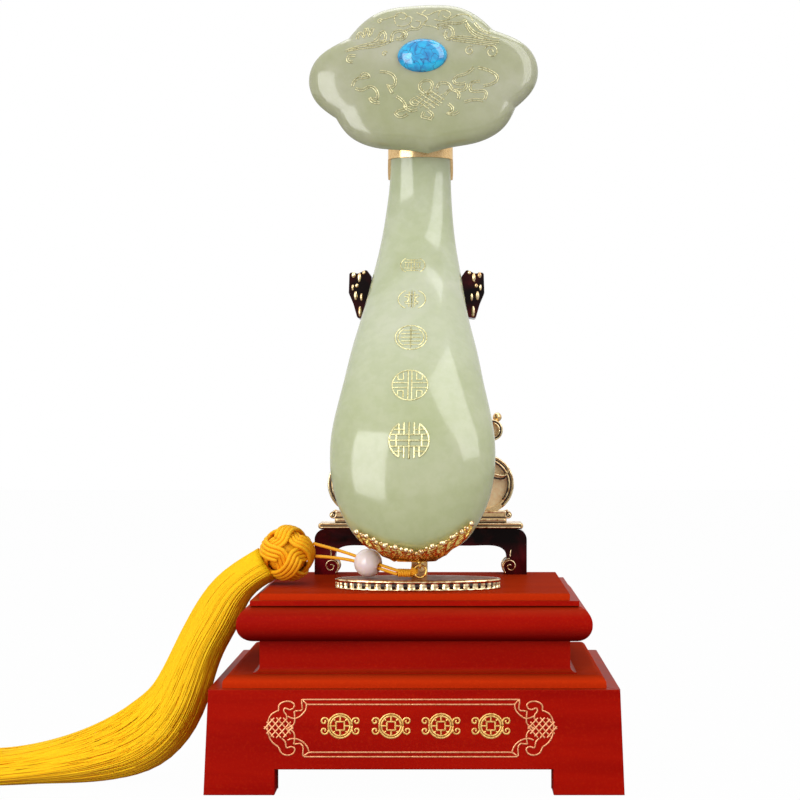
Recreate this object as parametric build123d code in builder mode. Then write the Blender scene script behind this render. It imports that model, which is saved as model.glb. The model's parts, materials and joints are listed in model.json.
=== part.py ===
# Jade ruyi scepter resting on a gilt metal stand, on a stepped plinth of red lacquered wood,
# with a cord, bead, knot and silk tassel at its tail.
# Millimetres. +Z is up, the front faces -Y, and the origin is the middle of the plinth's
# footprint on the surface that it stands on.

import os
from math import atan2, cos, degrees, radians, sin, sqrt, tan

from build123d import *

os.makedirs("parts", exist_ok=True)

# Plinth: a mitred box on four feet, then a cap, a waist, a half round moulding and a top board
box_width = 211.0
box_depth = 130.0
box_height = 52.5
box_flare = 2.0  # each side leans in by this much from its foot to its top
box_wall = 12.0
box_corner = 1.2
foot_gap_width = 139.5
side_gap_width = 38.0
foot_gap_height = 12.75
pad_radius = 9.0
pad_thickness = 1.0
pad_inset = 14.0
block_leg = 22.0
cap_width = 194.0
cap_depth = 117.0
cap_thickness = 6.0
cap_round = 4.2
waist_width = 159.0
waist_depth = 96.0
waist_height = 16.4
cove_radius = 3.0
cove_lip = 0.5
torus_width = 180.0
torus_depth = 118.0
torus_thickness = 18.6
torus_flat = 0.3
band_width = 167.0
band_depth = 110.0
band_thickness = 2.5
board_width = 158.0
board_depth = 104.0
board_thickness = 3.4
board_ease = 0.4

# Countersunk screws: long ones tie the plinth's layers, short ones hold the metalwork
screw_angle = 90.0
screw_fit = 0.1
layer_screw_radius = 2.0
layer_screw_head = 4.0
layer_screw_length = 30.0
layer_screw_span_x = 110.0
layer_screw_span_y = 56.0
metal_screw_radius = 1.5
metal_screw_head = 3.0
metal_screw_length = 8.0

# Gilt inlay on the plinth's front
cartouche_x = -1.2
cartouche_height = 34.4  # above the surface that the plinth stands on
cartouche_width = 110.0
cartouche_depth = 28.6
line_width = 0.9
line_gap = 1.6
end_knot_reach = 14.0
end_knot_side = 15.0
inlay_sink = 0.5
inlay_proud = 0.15
motif_count = 4
motif_pitch = 25.2
motif_shift = 2.2  # the row of motifs stands this far right of the cartouche's middle
motif_radius = 7.0
motif_hole = 5.0

# Metal stand at the back of the top board
stand_x = 1.0
stand_inset = 2.0  # from the board's back edge to the stand's back face
stand_depth = 12.0
table_width = 121.0
table_height = 25.9
table_round = 6.0
arch_height = 16.4
arch_flat = 56.0
leg_width = 11.5
foot_radius = 4.6
foot_reach = 14.0
rim_width = 117.0
rim_thickness = 3.4
rim_proud = 0.5
rim_round = 1.4
cushion_width = 104.0
cushion_step_width = 98.0
cushion_step = 2.6
cushion_height = 3.9
cushion_depth = 11.0
frame_depth = 7.0
big_scroll_radius = 17.0
big_scroll_x = 36.2
big_scroll_band = 3.0
small_scroll_radius = 6.0
small_scroll_x = 40.8
small_scroll_rise = 46.5  # above the cushion
small_scroll_band = 2.2
scroll_stem = 3.2
scroll_foot_width = 16.0
scroll_foot_height = 1.6
finial_radius = 2.6
finial_sink = 1.2
finial_out = 3.0
infill_thickness = 3.0
post_width = 15.0
post_depth = 8.0
yoke_width = 51.0
yoke_height = 11.0
yoke_rise = 156.5  # from the top board to the yoke's top
yoke_gap = 1.6
pad_width = 24.0
arm_depth = 14.0
arm_height = 27.6
arm_top_rise = 173.4  # from the top board
arm_width = 13.0
arm_fillet = 1.3

# Fluted plate and the seat on it that carries the scepter's tail
plate_x = 1.0
plate_y = -28.0
plate_width = 87.0
plate_depth = 32.0
plate_height = 5.2
flute_count = 44
flute_radius = 1.35
plate_screw_span = 50.0
seat_x = 1.6
seat_post_width = 8.4
seat_front = 8.0  # from the plate's middle line to the seat's front face
seat_depth = 13.0
seat_post_height = 12.5
seat_width = 26.0
seat_height = 25.0
rest_gap = 0.3  # running clearance between the scepter and what carries it

# Scepter: jade handle, a pear shaped bar that leans back and straightens at the neck
handle_lift = 17.6  # from the top board to the handle's lower end
handle_height = 244.0
handle_half_width = 43.2
handle_run = 96.0
handle_depth = 40.0
handle_front_y = -52.5
handle_x = -1.6
neck_shift = 2.2
# Each station: height, half width, how far back the front lies, front to back depth and
# sideways shift, as shares of the five sizes above
handle_station_shares = [
    (0.000, 0.215, 0.152, 0.235, 0.0),
    (0.008, 0.400, 0.100, 0.420, 0.0),
    (0.025, 0.590, 0.053, 0.630, 0.0),
    (0.055, 0.745, 0.019, 0.790, 0.0),
    (0.094, 0.868, 0.003, 0.865, 0.0),
    (0.145, 0.960, 0.000, 0.905, 0.0),
    (0.205, 1.000, 0.012, 0.940, 0.0),
    (0.254, 0.992, 0.038, 0.975, 0.0),
    (0.312, 0.940, 0.104, 1.000, 0.0),
    (0.377, 0.862, 0.203, 1.000, 0.0),
    (0.443, 0.790, 0.323, 0.975, 0.0),
    (0.512, 0.697, 0.462, 0.935, 0.0),
    (0.566, 0.634, 0.575, 0.885, 0.15),
    (0.620, 0.581, 0.698, 0.830, 0.30),
    (0.696, 0.505, 0.863, 0.690, 0.45),
    (0.795, 0.435, 0.969, 0.545, 0.75),
    (0.871, 0.406, 0.996, 0.480, 1.00),
    (0.934, 0.405, 0.972, 0.480, 1.00),
    (1.000, 0.400, 0.925, 0.490, 1.00),
]

# Five gilt rounds down the handle's front: radius and height as a share of the handle
medallion_x = -3.0
medallion_thickness = 1.6
medallion_proud = 0.35
medallion_radii = [10.5, 9.6, 8.7, 7.7, 7.0]
medallion_height_shares = [0.247, 0.364, 0.470, 0.559, 0.643]
slope_step_share = 0.02

# Head: a thick lobed plaque, set on the front of the neck
head_x = 2.8
head_y = 35.0
head_rise = 281.6  # from the top board to the plaque's middle
head_lean = 8.0
head_roll = 3.5
head_half_width = 65.0
head_half_height = 43.4
head_thickness = 17.0
head_round = 6.4
rim_steps = 3
# Right half of the outline, as shares of the half width and the half height
top_lobe_shares = [(0.0, 1.0), (0.355, 0.94), (0.545, 0.755), (0.640, 0.600)]
side_lobe_shares = [(0.640, 0.600), (0.895, 0.392), (1.0, -0.02), (0.93, -0.26), (0.785, -0.455)]
low_lobe_shares = [(0.785, -0.455), (0.655, -0.735), (0.42, -0.895), (0.19, -0.94), (0.0, -1.0)]
stone_width = 28.0
stone_height = 19.4
stone_up = 10.7
stone_sink = 1.6
stone_crown = 4.6
stone_round = 4.2
pin_radius = 2.5
pin_length = 14.0
pin_down = 26.0
pin_fit = 0.05
ferrule_wall = 1.3
ferrule_fit = 0.05
ferrule_height = 24.0
ferrule_top = 10.0  # below the handle's upper end
ferrule_band = 13.0  # the part of its height that goes all the way round
ferrule_front_share = 0.60
ferrule_sweep = 9.0  # how far its open front edge comes forward over its height

# Tail mount, ring, cord and bead
mount_wall = 1.6
mount_tip_left = (-30.5, 13.6)
mount_tip_right = (29.5, 17.6)
mount_dip = (0.6, 3.0)
mount_left_mid = (-17.0, 7.6)
mount_right_mid = (15.0, 8.4)
mount_left_under = (-21.0, 5.2)
mount_right_under = (20.0, 6.6)
mount_low_left = (-9.0, -2.6)
mount_low_right = (10.5, -2.6)
mount_drop = 3.2  # the mount's own shape is the handle's, grown and lowered by this
mount_share_count = 5
stem_radius = 2.4
stem_height = 3.8
ring_lift = 4.1  # from the fluted plate's top to the ring's middle
ring_x = 2.3
ring_y = -33.0
ring_radius = 3.2
ring_wire = 0.6
eyelet_wire = 0.6
link_gap = 0.3
cord_diameter = 1.7
wrap_radius = 2.2
wrap_half_arc = 31.0
wrap_fit = 0.25
wrap_tube_radius = 2.3
# Both strands, from where they leave the wrapping to where they enter the knot, and the
# bead's middle, all measured from the ring's middle
strand_rise = 0.95  # each strand's distance from the middle of the wrapping's end
wrap_tube_from_ring = (-4.7, 0.0, -0.9)
wrap_end_from_ring = (-11.5, 0.0, -0.7)
first_run = 16.5
bead_from_ring = (-27.5, 7.2, 3.7)
upper_from_ring = [(-42.1, 13.9, 9.5), (-57.6, 21.0, 12.7)]
lower_from_ring = [(-42.2, 13.7, 5.9), (-56.3, 20.6, 5.9)]
bend_share = 0.45  # of the shorter run beside a bend
bead_radius = 7.4
bead_bore = 2.6
knot_radius = 16.0
knot_x = -69.7
knot_y = -10.0
knot_rest = 0.4  # how far the knot lies above the top board
socket_fit = 0.05

# Tassel: down over the plinth's left side and out along the ground. Each station: x as a share
# of half the box's width, y, z as a share of the knot's height, half thickness, half depth
tassel_stations = [
    (-0.763, -10.0, 0.9546, 9.5, 10.0),
    (-0.849, -10.5, 0.9075, 9.5, 11.5),
    (-0.943, -11.5, 0.8305, 10.8, 13.0),
    (-1.016, -13.0, 0.7192, 12.5, 14.5),
    (-1.085, -16.0, 0.5990, 12.5, 16.0),
    (-1.150, -20.0, 0.4540, 13.5, 17.0),
    (-1.226, -23.0, 0.3080, 16.0, 18.0),
    (-1.346, -26.5, 0.1970, 17.5, 19.0),
    (-1.517, -31.0, 0.1340, 15.0, 19.5),
    (-1.801, -35.0, 0.0870, 9.6, 19.0),
    (-2.066, -37.0, 0.0655, 7.2, 19.5),
    (-2.275, -38.0, 0.0640, 7.0, 20.0),
]
overrun = 1.0

# Places that follow from the sizes
box_foot_z = pad_thickness
cap_z = box_foot_z + box_height
waist_z = cap_z + cap_thickness
torus_z = waist_z + waist_height
band_z = torus_z + torus_thickness
board_z = band_z + band_thickness
top_z = board_z + board_thickness
stand_back_y = board_depth / 2 - stand_inset
stand_front_y = stand_back_y - stand_depth
stand_mid_y = (stand_front_y + stand_back_y) / 2
rim_z = top_z + table_height
cushion_z = rim_z + rim_thickness
frame_z = cushion_z + cushion_step + cushion_height
plate_top_z = top_z + plate_height
handle_z = top_z + handle_lift
written = []


def finish(part, name):
    """Label one finished piece and write it."""
    part.label = name
    export_step(part, f"parts/{name}.step")
    written.append(name)


# Plinth box: the shell is lofted whole, then cut into four boards on its mitres
with BuildPart() as box_shell:
    with BuildSketch(Plane.XY.offset(box_foot_z)):
        RectangleRounded(box_width, box_depth, box_corner)
    with BuildSketch(Plane.XY.offset(cap_z)):
        RectangleRounded(box_width - 2 * box_flare, box_depth - 2 * box_flare, box_corner)
    loft(ruled=True)
    inner_width = box_width - 2 * box_flare - 2 * box_wall
    inner_depth = box_depth - 2 * box_flare - 2 * box_wall
    with BuildSketch(Plane.XY.offset(box_foot_z)):
        Rectangle(inner_width, inner_depth)
    extrude(amount=box_height, mode=Mode.SUBTRACT)
    with BuildSketch(Plane.XY.offset(box_foot_z)):
        Rectangle(foot_gap_width, box_depth)
        Rectangle(box_width, side_gap_width)
    extrude(amount=foot_gap_height, mode=Mode.SUBTRACT)


def mitred_board(out_x, out_y):
    """The side of the box that faces (out_x, out_y), between its two corner planes."""
    with BuildPart() as board:
        add(box_shell.part)
        split(bisect_by=Plane(origin=(0, 0, 0), z_dir=(out_x, out_y, 0)), keep=Keep.TOP)
        for hand in (-1, 1):
            along_x, along_y = -out_y * hand, out_x * hand
            corner = (
                (out_x + along_x) * box_width / 2,
                (out_y + along_y) * box_depth / 2,
                0,
            )
            inward = (out_x - along_x, out_y - along_y, 0)
            split(bisect_by=Plane(origin=corner, z_dir=inward), keep=Keep.TOP)
    return board.part


# The front board carries the inlay, in channels cut square to its leaning face
front_lean = degrees(atan2(box_flare, box_height))
cartouche_y = box_flare * (cartouche_height - box_foot_z) / box_height - box_depth / 2
front_face = Plane(
    origin=(cartouche_x, cartouche_y, cartouche_height),
    x_dir=(1, 0, 0),
    z_dir=(0, -cos(radians(front_lean)), sin(radians(front_lean))),
)
channel_floor = front_face.offset(-inlay_sink)

with BuildSketch(channel_floor) as cartouche_sketch:
    for inset in (0, line_width + line_gap):
        Rectangle(cartouche_width - 2 * inset, cartouche_depth - 2 * inset)
        inner = inset + line_width
        Rectangle(
            cartouche_width - 2 * inner, cartouche_depth - 2 * inner, mode=Mode.SUBTRACT
        )
    end_knot_x = cartouche_width / 2 + end_knot_reach / 2 + line_gap + line_width
    with Locations((-end_knot_x, 0), (end_knot_x, 0)):
        Rectangle(end_knot_side, end_knot_side, rotation=45)
        Rectangle(
            end_knot_side - 2 * line_width,
            end_knot_side - 2 * line_width,
            rotation=45,
            mode=Mode.SUBTRACT,
        )

with BuildSketch(channel_floor) as motif_sketch:
    with Locations((motif_shift, 0)):
        with GridLocations(motif_pitch, 0, motif_count, 1):
            Circle(motif_radius)
            Rectangle(motif_hole, motif_hole, rotation=45, mode=Mode.SUBTRACT)

with BuildPart() as front_apron:
    add(mitred_board(0, -1))
    for channel in (cartouche_sketch.sketch, motif_sketch.sketch):
        extrude(
            channel, amount=inlay_sink + overrun, dir=front_face.z_dir, mode=Mode.SUBTRACT
        )
finish(front_apron.part, "front_apron")

with BuildPart() as cartouche_inlay:
    extrude(cartouche_sketch.sketch, amount=inlay_sink + inlay_proud, dir=front_face.z_dir)
finish(cartouche_inlay.part, "cartouche_inlay")

with BuildPart() as motif_inlays:
    extrude(motif_sketch.sketch, amount=inlay_sink + inlay_proud, dir=front_face.z_dir)
finish(motif_inlays.part, "motif_inlays")

for apron_name, out_x, out_y in (
    ("back_apron", 0, 1),
    ("left_apron", -1, 0),
    ("right_apron", 1, 0),
):
    with BuildPart() as apron:
        add(mitred_board(out_x, out_y))
    finish(apron.part, apron_name)

# Glue blocks in the four inner corners, and the felt pads under them
with BuildPart() as corner_blocks:
    with BuildSketch(Plane.XY.offset(box_foot_z)):
        with BuildLine():
            Polyline(
                (inner_width / 2, inner_depth / 2),
                (inner_width / 2 - block_leg, inner_depth / 2),
                (inner_width / 2, inner_depth / 2 - block_leg),
                close=True,
            )
        make_face()
        mirror(about=Plane.XZ)
        mirror(about=Plane.YZ)
    extrude(amount=box_height)
finish(corner_blocks.part, "corner_blocks")

with BuildPart() as felt_pads:
    with BuildSketch():
        with GridLocations(box_width - 2 * pad_inset, box_depth - 2 * pad_inset, 2, 2):
            Circle(pad_radius)
    extrude(amount=pad_thickness)
finish(felt_pads.part, "felt_pads")


def countersunk_screw(radius, head, length):
    """A screw that points up from the origin, its flat head at the bottom."""
    head_height = (head - radius) / tan(radians(screw_angle / 2))
    with BuildPart() as screw:
        with BuildSketch(Plane.XZ):
            with BuildLine():
                Polyline(
                    (0, 0),
                    (head, 0),
                    (radius, head_height),
                    (radius, length - radius),
                    (0, length),
                    close=True,
                )
            make_face()
        revolve(axis=Axis.Z)
    return screw.part


# Layers of the plinth, screwed together from below
layer_screw_from = Plane(origin=(0, 0, cap_z), x_dir=(1, 0, 0), z_dir=(0, 0, -1))

with BuildPart() as cap_board:
    with BuildSketch(Plane.XY.offset(cap_z)):
        Rectangle(cap_width, cap_depth)
    extrude(amount=cap_thickness)
    fillet(cap_board.faces().sort_by(Axis.Z)[-1].edges(), cap_round)
    with Locations(layer_screw_from):
        with GridLocations(layer_screw_span_x, layer_screw_span_y, 2, 2):
            CounterSinkHole(
                layer_screw_radius + screw_fit,
                layer_screw_head + screw_fit,
                cap_thickness,
                screw_angle,
            )
finish(cap_board.part, "cap_board")

with BuildPart() as waist_block:
    with BuildSketch(Plane.XY.offset(waist_z)):
        Rectangle(waist_width + 2 * cove_radius, waist_depth + 2 * cove_radius)
    extrude(amount=cove_lip)
    with BuildSketch(Plane.XY.offset(waist_z)):
        Rectangle(waist_width, waist_depth)
    extrude(amount=waist_height)
    foot_edges = waist_block.edges().filter_by_position(
        Axis.Z, waist_z + cove_lip, waist_z + cove_lip
    )
    inner_edges = foot_edges.filter_by(
        lambda edge: abs(edge.center().X) < waist_width / 2 + cove_lip
        and abs(edge.center().Y) < waist_depth / 2 + cove_lip
    )
    fillet(inner_edges, cove_radius - cove_lip / 2)
    with Locations(Plane(origin=(0, 0, waist_z), z_dir=(0, 0, -1))):
        with GridLocations(layer_screw_span_x, layer_screw_span_y, 2, 2):
            Hole(layer_screw_radius + screw_fit, depth=waist_height)
finish(waist_block.part, "waist_block")

with BuildPart() as torus_board:
    with BuildSketch(Plane.XY.offset(torus_z)):
        Rectangle(torus_width, torus_depth)
    extrude(amount=torus_thickness)
    fillet(
        torus_board.edges().filter_by(Plane.XY),
        torus_thickness / 2 - torus_flat,
    )
    with BuildSketch(Plane.XY.offset(band_z)):
        Rectangle(band_width, band_depth)
    extrude(amount=band_thickness)
    with Locations(Plane(origin=(0, 0, torus_z), z_dir=(0, 0, -1))):
        with GridLocations(layer_screw_span_x, layer_screw_span_y, 2, 2):
            Hole(
                layer_screw_radius + screw_fit,
                depth=layer_screw_length - cap_thickness - waist_height + screw_fit,
            )
finish(torus_board.part, "torus_board")

table_screw_span = table_width - leg_width
with BuildPart() as top_board:
    with BuildSketch(Plane.XY.offset(board_z)):
        Rectangle(board_width, board_depth)
    extrude(amount=board_thickness)
    chamfer(top_board.faces().sort_by(Axis.Z)[-1].edges(), board_ease)
    with Locations(Plane(origin=(stand_x, stand_mid_y, board_z), z_dir=(0, 0, -1))):
        with GridLocations(table_screw_span, 0, 2, 1):
            CounterSinkHole(
                metal_screw_radius + screw_fit,
                metal_screw_head + screw_fit,
                board_thickness,
                screw_angle,
            )
    with Locations(Plane(origin=(plate_x, plate_y, board_z), z_dir=(0, 0, -1))):
        with GridLocations(plate_screw_span, 0, 2, 1):
            CounterSinkHole(
                metal_screw_radius + screw_fit,
                metal_screw_head + screw_fit,
                board_thickness,
                screw_angle,
            )
finish(top_board.part, "top_board")

layer_screw = countersunk_screw(layer_screw_radius, layer_screw_head, layer_screw_length)
with BuildPart() as layer_screws:
    with Locations(Plane.XY.offset(cap_z)):
        with GridLocations(layer_screw_span_x, layer_screw_span_y, 2, 2):
            add(layer_screw)
finish(layer_screws.part, "layer_screws")

metal_screw = countersunk_screw(metal_screw_radius, metal_screw_head, metal_screw_length)
with BuildPart() as metal_screws:
    with Locations(Plane(origin=(stand_x, stand_mid_y, board_z))):
        with GridLocations(table_screw_span, 0, 2, 1):
            add(metal_screw)
    with Locations(Plane(origin=(plate_x, plate_y, board_z))):
        with GridLocations(plate_screw_span, 0, 2, 1):
            add(metal_screw)
finish(metal_screws.part, "metal_screws")

# Metal stand: every outline is drawn on its back face and extruded to the front
stand_back = Plane(origin=(stand_x, stand_back_y, 0), x_dir=(1, 0, 0), z_dir=(0, -1, 0))
stand_blind = metal_screw_length - board_thickness + screw_fit

with BuildPart() as stand_table:
    with BuildSketch(stand_back):
        half = table_width / 2
        leg_x = half - leg_width
        with BuildLine():
            Line((0, top_z + table_height), (half - table_round, top_z + table_height))
            RadiusArc(
                (half - table_round, top_z + table_height),
                (half, top_z + table_height - table_round),
                table_round,
            )
            Line((half, top_z + table_height - table_round), (half, top_z))
            Line((half, top_z), (leg_x, top_z))
            Line((leg_x, top_z), (leg_x, top_z + 2 * foot_radius))
            Spline(
                (leg_x, top_z + 2 * foot_radius),
                (arch_flat / 2, top_z + arch_height),
                tangents=((0, 1), (-1, 0)),
            )
            Line((arch_flat / 2, top_z + arch_height), (0, top_z + arch_height))
            Line((0, top_z + arch_height), (0, top_z + table_height))
        make_face()
        with Locations((half - foot_reach + foot_radius, top_z + foot_radius)):
            Circle(foot_radius)
        mirror(about=Plane.YZ)
    extrude(amount=stand_depth)
    with Locations(Plane(origin=(stand_x, stand_mid_y, top_z), z_dir=(0, 0, -1))):
        with GridLocations(table_screw_span, 0, 2, 1):
            Hole(metal_screw_radius + screw_fit, depth=stand_blind)
finish(stand_table.part, "stand_table")

with BuildPart() as stand_rim:
    with BuildSketch(Plane(origin=(stand_x, stand_mid_y, rim_z))):
        Rectangle(rim_width, stand_depth + 2 * rim_proud)
    extrude(amount=rim_thickness)
    fillet(stand_rim.edges(), rim_round)
finish(stand_rim.part, "stand_rim")

cushion_back = stand_back.offset((stand_depth - cushion_depth) / 2)
with BuildPart() as stand_cushion:
    with BuildSketch(cushion_back):
        with Locations((0, cushion_z + cushion_step / 2)):
            Rectangle(cushion_step_width, cushion_step)
        with Locations((0, cushion_z + cushion_step + cushion_height / 2)):
            SlotOverall(cushion_width, cushion_height)
    extrude(amount=cushion_depth)
finish(stand_cushion.part, "stand_cushion")

# Scroll frame: on each side a large ring and a small ring, tied to the post between them
frame_back = stand_back.offset((stand_depth - frame_depth) / 2)
big_scroll_z = frame_z + scroll_foot_height + big_scroll_radius - big_scroll_band
small_scroll_z = frame_z + small_scroll_rise
stem_low = big_scroll_z + big_scroll_radius - big_scroll_band / 2
stem_high = small_scroll_z - small_scroll_radius + small_scroll_band / 2
finial_z = small_scroll_z + small_scroll_radius + finial_radius - finial_sink
with BuildPart() as scroll_frame:
    for hand in (-1, 1):
        with BuildSketch(frame_back):
            with Locations((hand * big_scroll_x, big_scroll_z)):
                Circle(big_scroll_radius)
            with Locations((hand * big_scroll_x, frame_z + scroll_foot_height / 2)):
                Rectangle(scroll_foot_width, scroll_foot_height)
            with Locations((hand * small_scroll_x, small_scroll_z)):
                Circle(small_scroll_radius)
            stem_x = hand * (big_scroll_x + small_scroll_x) / 2
            with Locations((stem_x, (stem_low + stem_high) / 2)):
                Rectangle(scroll_stem, stem_high - stem_low)
            for tie_x, tie_z, tie_band in (
                (big_scroll_x - big_scroll_radius, big_scroll_z, big_scroll_band),
                (small_scroll_x - small_scroll_radius, small_scroll_z, small_scroll_band),
            ):
                tie_end = tie_x + tie_band / 2
                with Locations((hand * (post_width / 2 + tie_end) / 2, tie_z)):
                    Rectangle(tie_end - post_width / 2, scroll_stem)
            with Locations((hand * big_scroll_x, big_scroll_z)):
                Circle(big_scroll_radius - big_scroll_band, mode=Mode.SUBTRACT)
            with Locations((hand * small_scroll_x, small_scroll_z)):
                Circle(small_scroll_radius - small_scroll_band, mode=Mode.SUBTRACT)
            with Locations((hand * big_scroll_x, frame_z - big_scroll_radius / 2)):
                Rectangle(
                    2 * big_scroll_radius, big_scroll_radius, mode=Mode.SUBTRACT
                )
        extrude(amount=frame_depth)
        finial_x = stand_x + hand * (small_scroll_x + finial_out)
        with Locations((finial_x, stand_mid_y, finial_z)):
            Sphere(finial_radius)
finish(scroll_frame.part, "scroll_frame")

infill_back = stand_back.offset((stand_depth - infill_thickness) / 2)
with BuildPart() as scroll_infill:
    with BuildSketch(infill_back):
        for hand in (-1, 1):
            with Locations((hand * big_scroll_x, big_scroll_z)):
                Circle(big_scroll_radius - big_scroll_band)
            with Locations((hand * small_scroll_x, small_scroll_z)):
                Circle(small_scroll_radius - small_scroll_band)
    extrude(amount=infill_thickness)
finish(scroll_infill.part, "scroll_infill")


def handle_at(z):
    """Middle x, half width, front y and depth of the handle at height z."""
    share = (z - handle_z) / handle_height
    low, high = handle_station_shares[0], handle_station_shares[-1]
    for before, after in zip(handle_station_shares, handle_station_shares[1:]):
        if before[0] <= share <= after[0]:
            low, high = before, after
    part_way = (share - low[0]) / (high[0] - low[0])
    mixed = [a + (b - a) * part_way for a, b in zip(low, high)]
    return (
        handle_x + mixed[4] * neck_shift,
        mixed[1] * handle_half_width,
        handle_front_y + mixed[2] * handle_run,
        mixed[3] * handle_depth,
    )


def handle_section(share, grow=0):
    """Plane and half axes of the handle's level section, grown by a wall if asked."""
    mid_x, half_width, front_y, depth = handle_at(handle_z + share * handle_height)
    plane = Plane(origin=(mid_x, front_y + depth / 2, handle_z + share * handle_height))
    return plane, half_width + grow, depth / 2 + grow


# The yoke stands just behind the handle, where its back passes the top of the post
yoke_top_z = top_z + yoke_rise
yoke_z = yoke_top_z - yoke_height
rest_x, rest_half, rest_front, rest_depth = handle_at(yoke_top_z)
yoke_front_y = rest_front + rest_depth + yoke_gap
yoke_back_y = yoke_front_y + post_depth

with BuildPart() as back_post:
    with BuildSketch(Plane(origin=(stand_x, yoke_back_y - post_depth / 2, frame_z))):
        Rectangle(post_width, post_depth)
    extrude(amount=yoke_z - frame_z)
finish(back_post.part, "back_post")

with BuildPart() as rest_yoke:
    with BuildSketch(Plane(origin=(rest_x, yoke_back_y - post_depth / 2, yoke_z))):
        Rectangle(yoke_width, post_depth)
    extrude(amount=yoke_height)
finish(rest_yoke.part, "rest_yoke")

arm_inner = yoke_width / 2
arm_z = top_z + arm_top_rise - arm_height
arm_shares = [
    (0.22, 1.0), (0.0, 0.86), (0.0, 0.36), (0.30, 0.02), (0.62, 0.0),
    (0.80, 0.30), (1.0, 0.52), (0.97, 0.95), (0.60, 0.92),
]
arm_plane = Plane(origin=(rest_x, yoke_back_y, 0), x_dir=(1, 0, 0), z_dir=(0, -1, 0))
for arm_name, hand in (("left_arm", -1), ("right_arm", 1)):
    with BuildPart() as arm:
        with BuildSketch(arm_plane):
            with BuildLine():
                Polyline(
                    *[
                        (hand * (arm_inner + u * arm_width), arm_z + v * arm_height)
                        for u, v in arm_shares
                    ],
                    close=True,
                )
            make_face()
        extrude(amount=arm_depth)
        fillet(arm.edges().filter_by(Axis.Y), arm_fillet)
    finish(arm.part, arm_name)

# Fluted plate: an oval with round flutes cut into its edge
with BuildPart() as fluted_plate:
    with BuildSketch(Plane(origin=(plate_x, plate_y, top_z))):
        Ellipse(plate_width / 2, plate_depth / 2)
        for flute in range(flute_count):
            turn = radians(360 * flute / flute_count)
            with Locations((plate_width / 2 * cos(turn), plate_depth / 2 * sin(turn))):
                Circle(flute_radius, mode=Mode.SUBTRACT)
    extrude(amount=plate_height)
    with Locations(Plane(origin=(plate_x, plate_y, top_z), z_dir=(0, 0, -1))):
        with GridLocations(plate_screw_span, 0, 2, 1):
            Hole(metal_screw_radius + screw_fit, depth=stand_blind)
finish(fluted_plate.part, "fluted_plate")

# Head: its plane leans back and is rolled a little, right side up
lean, roll = radians(head_lean), radians(head_roll)
head_plane = Plane(
    origin=(head_x, head_y, top_z + head_rise),
    x_dir=(cos(roll), sin(lean) * sin(roll), cos(lean) * sin(roll)),
    z_dir=(0, -cos(lean), sin(lean)),
)
head_back = head_plane.offset(-head_thickness / 2)


def head_section(height, inset):
    """The head's lobed outline at a height over its back plane, drawn in by an inset."""
    half_x, half_y = head_half_width - inset, head_half_height - inset
    with BuildSketch(head_back.offset(height)) as section:
        with BuildLine():
            for shares in (top_lobe_shares, side_lobe_shares, low_lobe_shares):
                Spline(*[(u * half_x, v * half_y) for u, v in shares])
            Line((0, -half_y), (0, half_y))
        make_face()
        mirror(about=Plane.YZ)
    return section.sketch


with BuildPart() as head_blank:
    extrude(head_section(0, 0), amount=head_thickness, dir=head_plane.z_dir)

# Pin between head and neck, square to the head's back
pin_plane = head_back * Location((0, -pin_down, -pin_length / 2))
with BuildPart() as neck_pin:
    with BuildSketch(pin_plane):
        Circle(pin_radius)
    extrude(amount=pin_length)
finish(neck_pin.part, "neck_pin")

with BuildPart() as pin_hole:
    with BuildSketch(head_back * Location((0, -pin_down, -pin_length / 2 - pin_fit))):
        Circle(pin_radius + pin_fit)
    extrude(amount=pin_length + 2 * pin_fit)

stone_plane = head_plane * Location((0, stone_up, head_thickness / 2 - stone_sink))
with BuildPart() as cabochon:
    with BuildSketch(stone_plane):
        Ellipse(stone_width / 2, stone_height / 2)
    extrude(amount=stone_sink + stone_crown)
    fillet(cabochon.edges().sort_by(Axis.Y)[0], stone_round)
finish(cabochon.part, "cabochon")

# The plaque's rim is rounded, so its outline is lofted through quarter circles of insets
with BuildPart() as head_jade:
    rim_turns = [90 * step / rim_steps for step in range(rim_steps + 1)]
    for rim_turn in rim_turns:
        rise, inset = sin(radians(rim_turn)), cos(radians(rim_turn))
        add(head_section(head_round * (1 - inset), head_round * (1 - rise)))
    for rim_turn in reversed(rim_turns):
        rise, inset = sin(radians(rim_turn)), cos(radians(rim_turn))
        add(head_section(head_thickness - head_round * (1 - inset), head_round * (1 - rise)))
    loft()
    add(pin_hole.part, mode=Mode.SUBTRACT)
    with BuildSketch(stone_plane):
        Ellipse(stone_width / 2, stone_height / 2)
    extrude(amount=stone_sink + overrun, mode=Mode.SUBTRACT)
finish(head_jade.part, "head_jade")

# Gilt rounds, each square to the handle's front where it sits
medallion_planes = []
for height_share in medallion_height_shares:
    medallion_z = handle_z + height_share * handle_height
    step = slope_step_share * handle_height
    front_above = handle_at(medallion_z + step)[2]
    front_below = handle_at(medallion_z - step)[2]
    slope = atan2(front_above - front_below, 2 * step)
    medallion_planes.append(
        Plane(
            origin=(medallion_x, handle_at(medallion_z)[2], medallion_z),
            x_dir=(1, 0, 0),
            z_dir=(0, -cos(slope), sin(slope)),
        ).offset(medallion_proud - medallion_thickness)
    )

for number, (plane, radius) in enumerate(zip(medallion_planes, medallion_radii), start=1):
    with BuildPart() as medallion:
        with BuildSketch(plane):
            Circle(radius)
        extrude(amount=medallion_thickness)
    finish(medallion.part, f"medallion_{number}")


def handle_solid(grow):
    """The handle lofted through its stations, grown all round by a clearance."""
    with BuildPart() as solid:
        for station in handle_station_shares:
            section_plane, half_x, half_y = handle_section(station[0], grow)
            with BuildSketch(section_plane):
                Ellipse(half_x, half_y)
        loft()
    return solid.part


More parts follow.
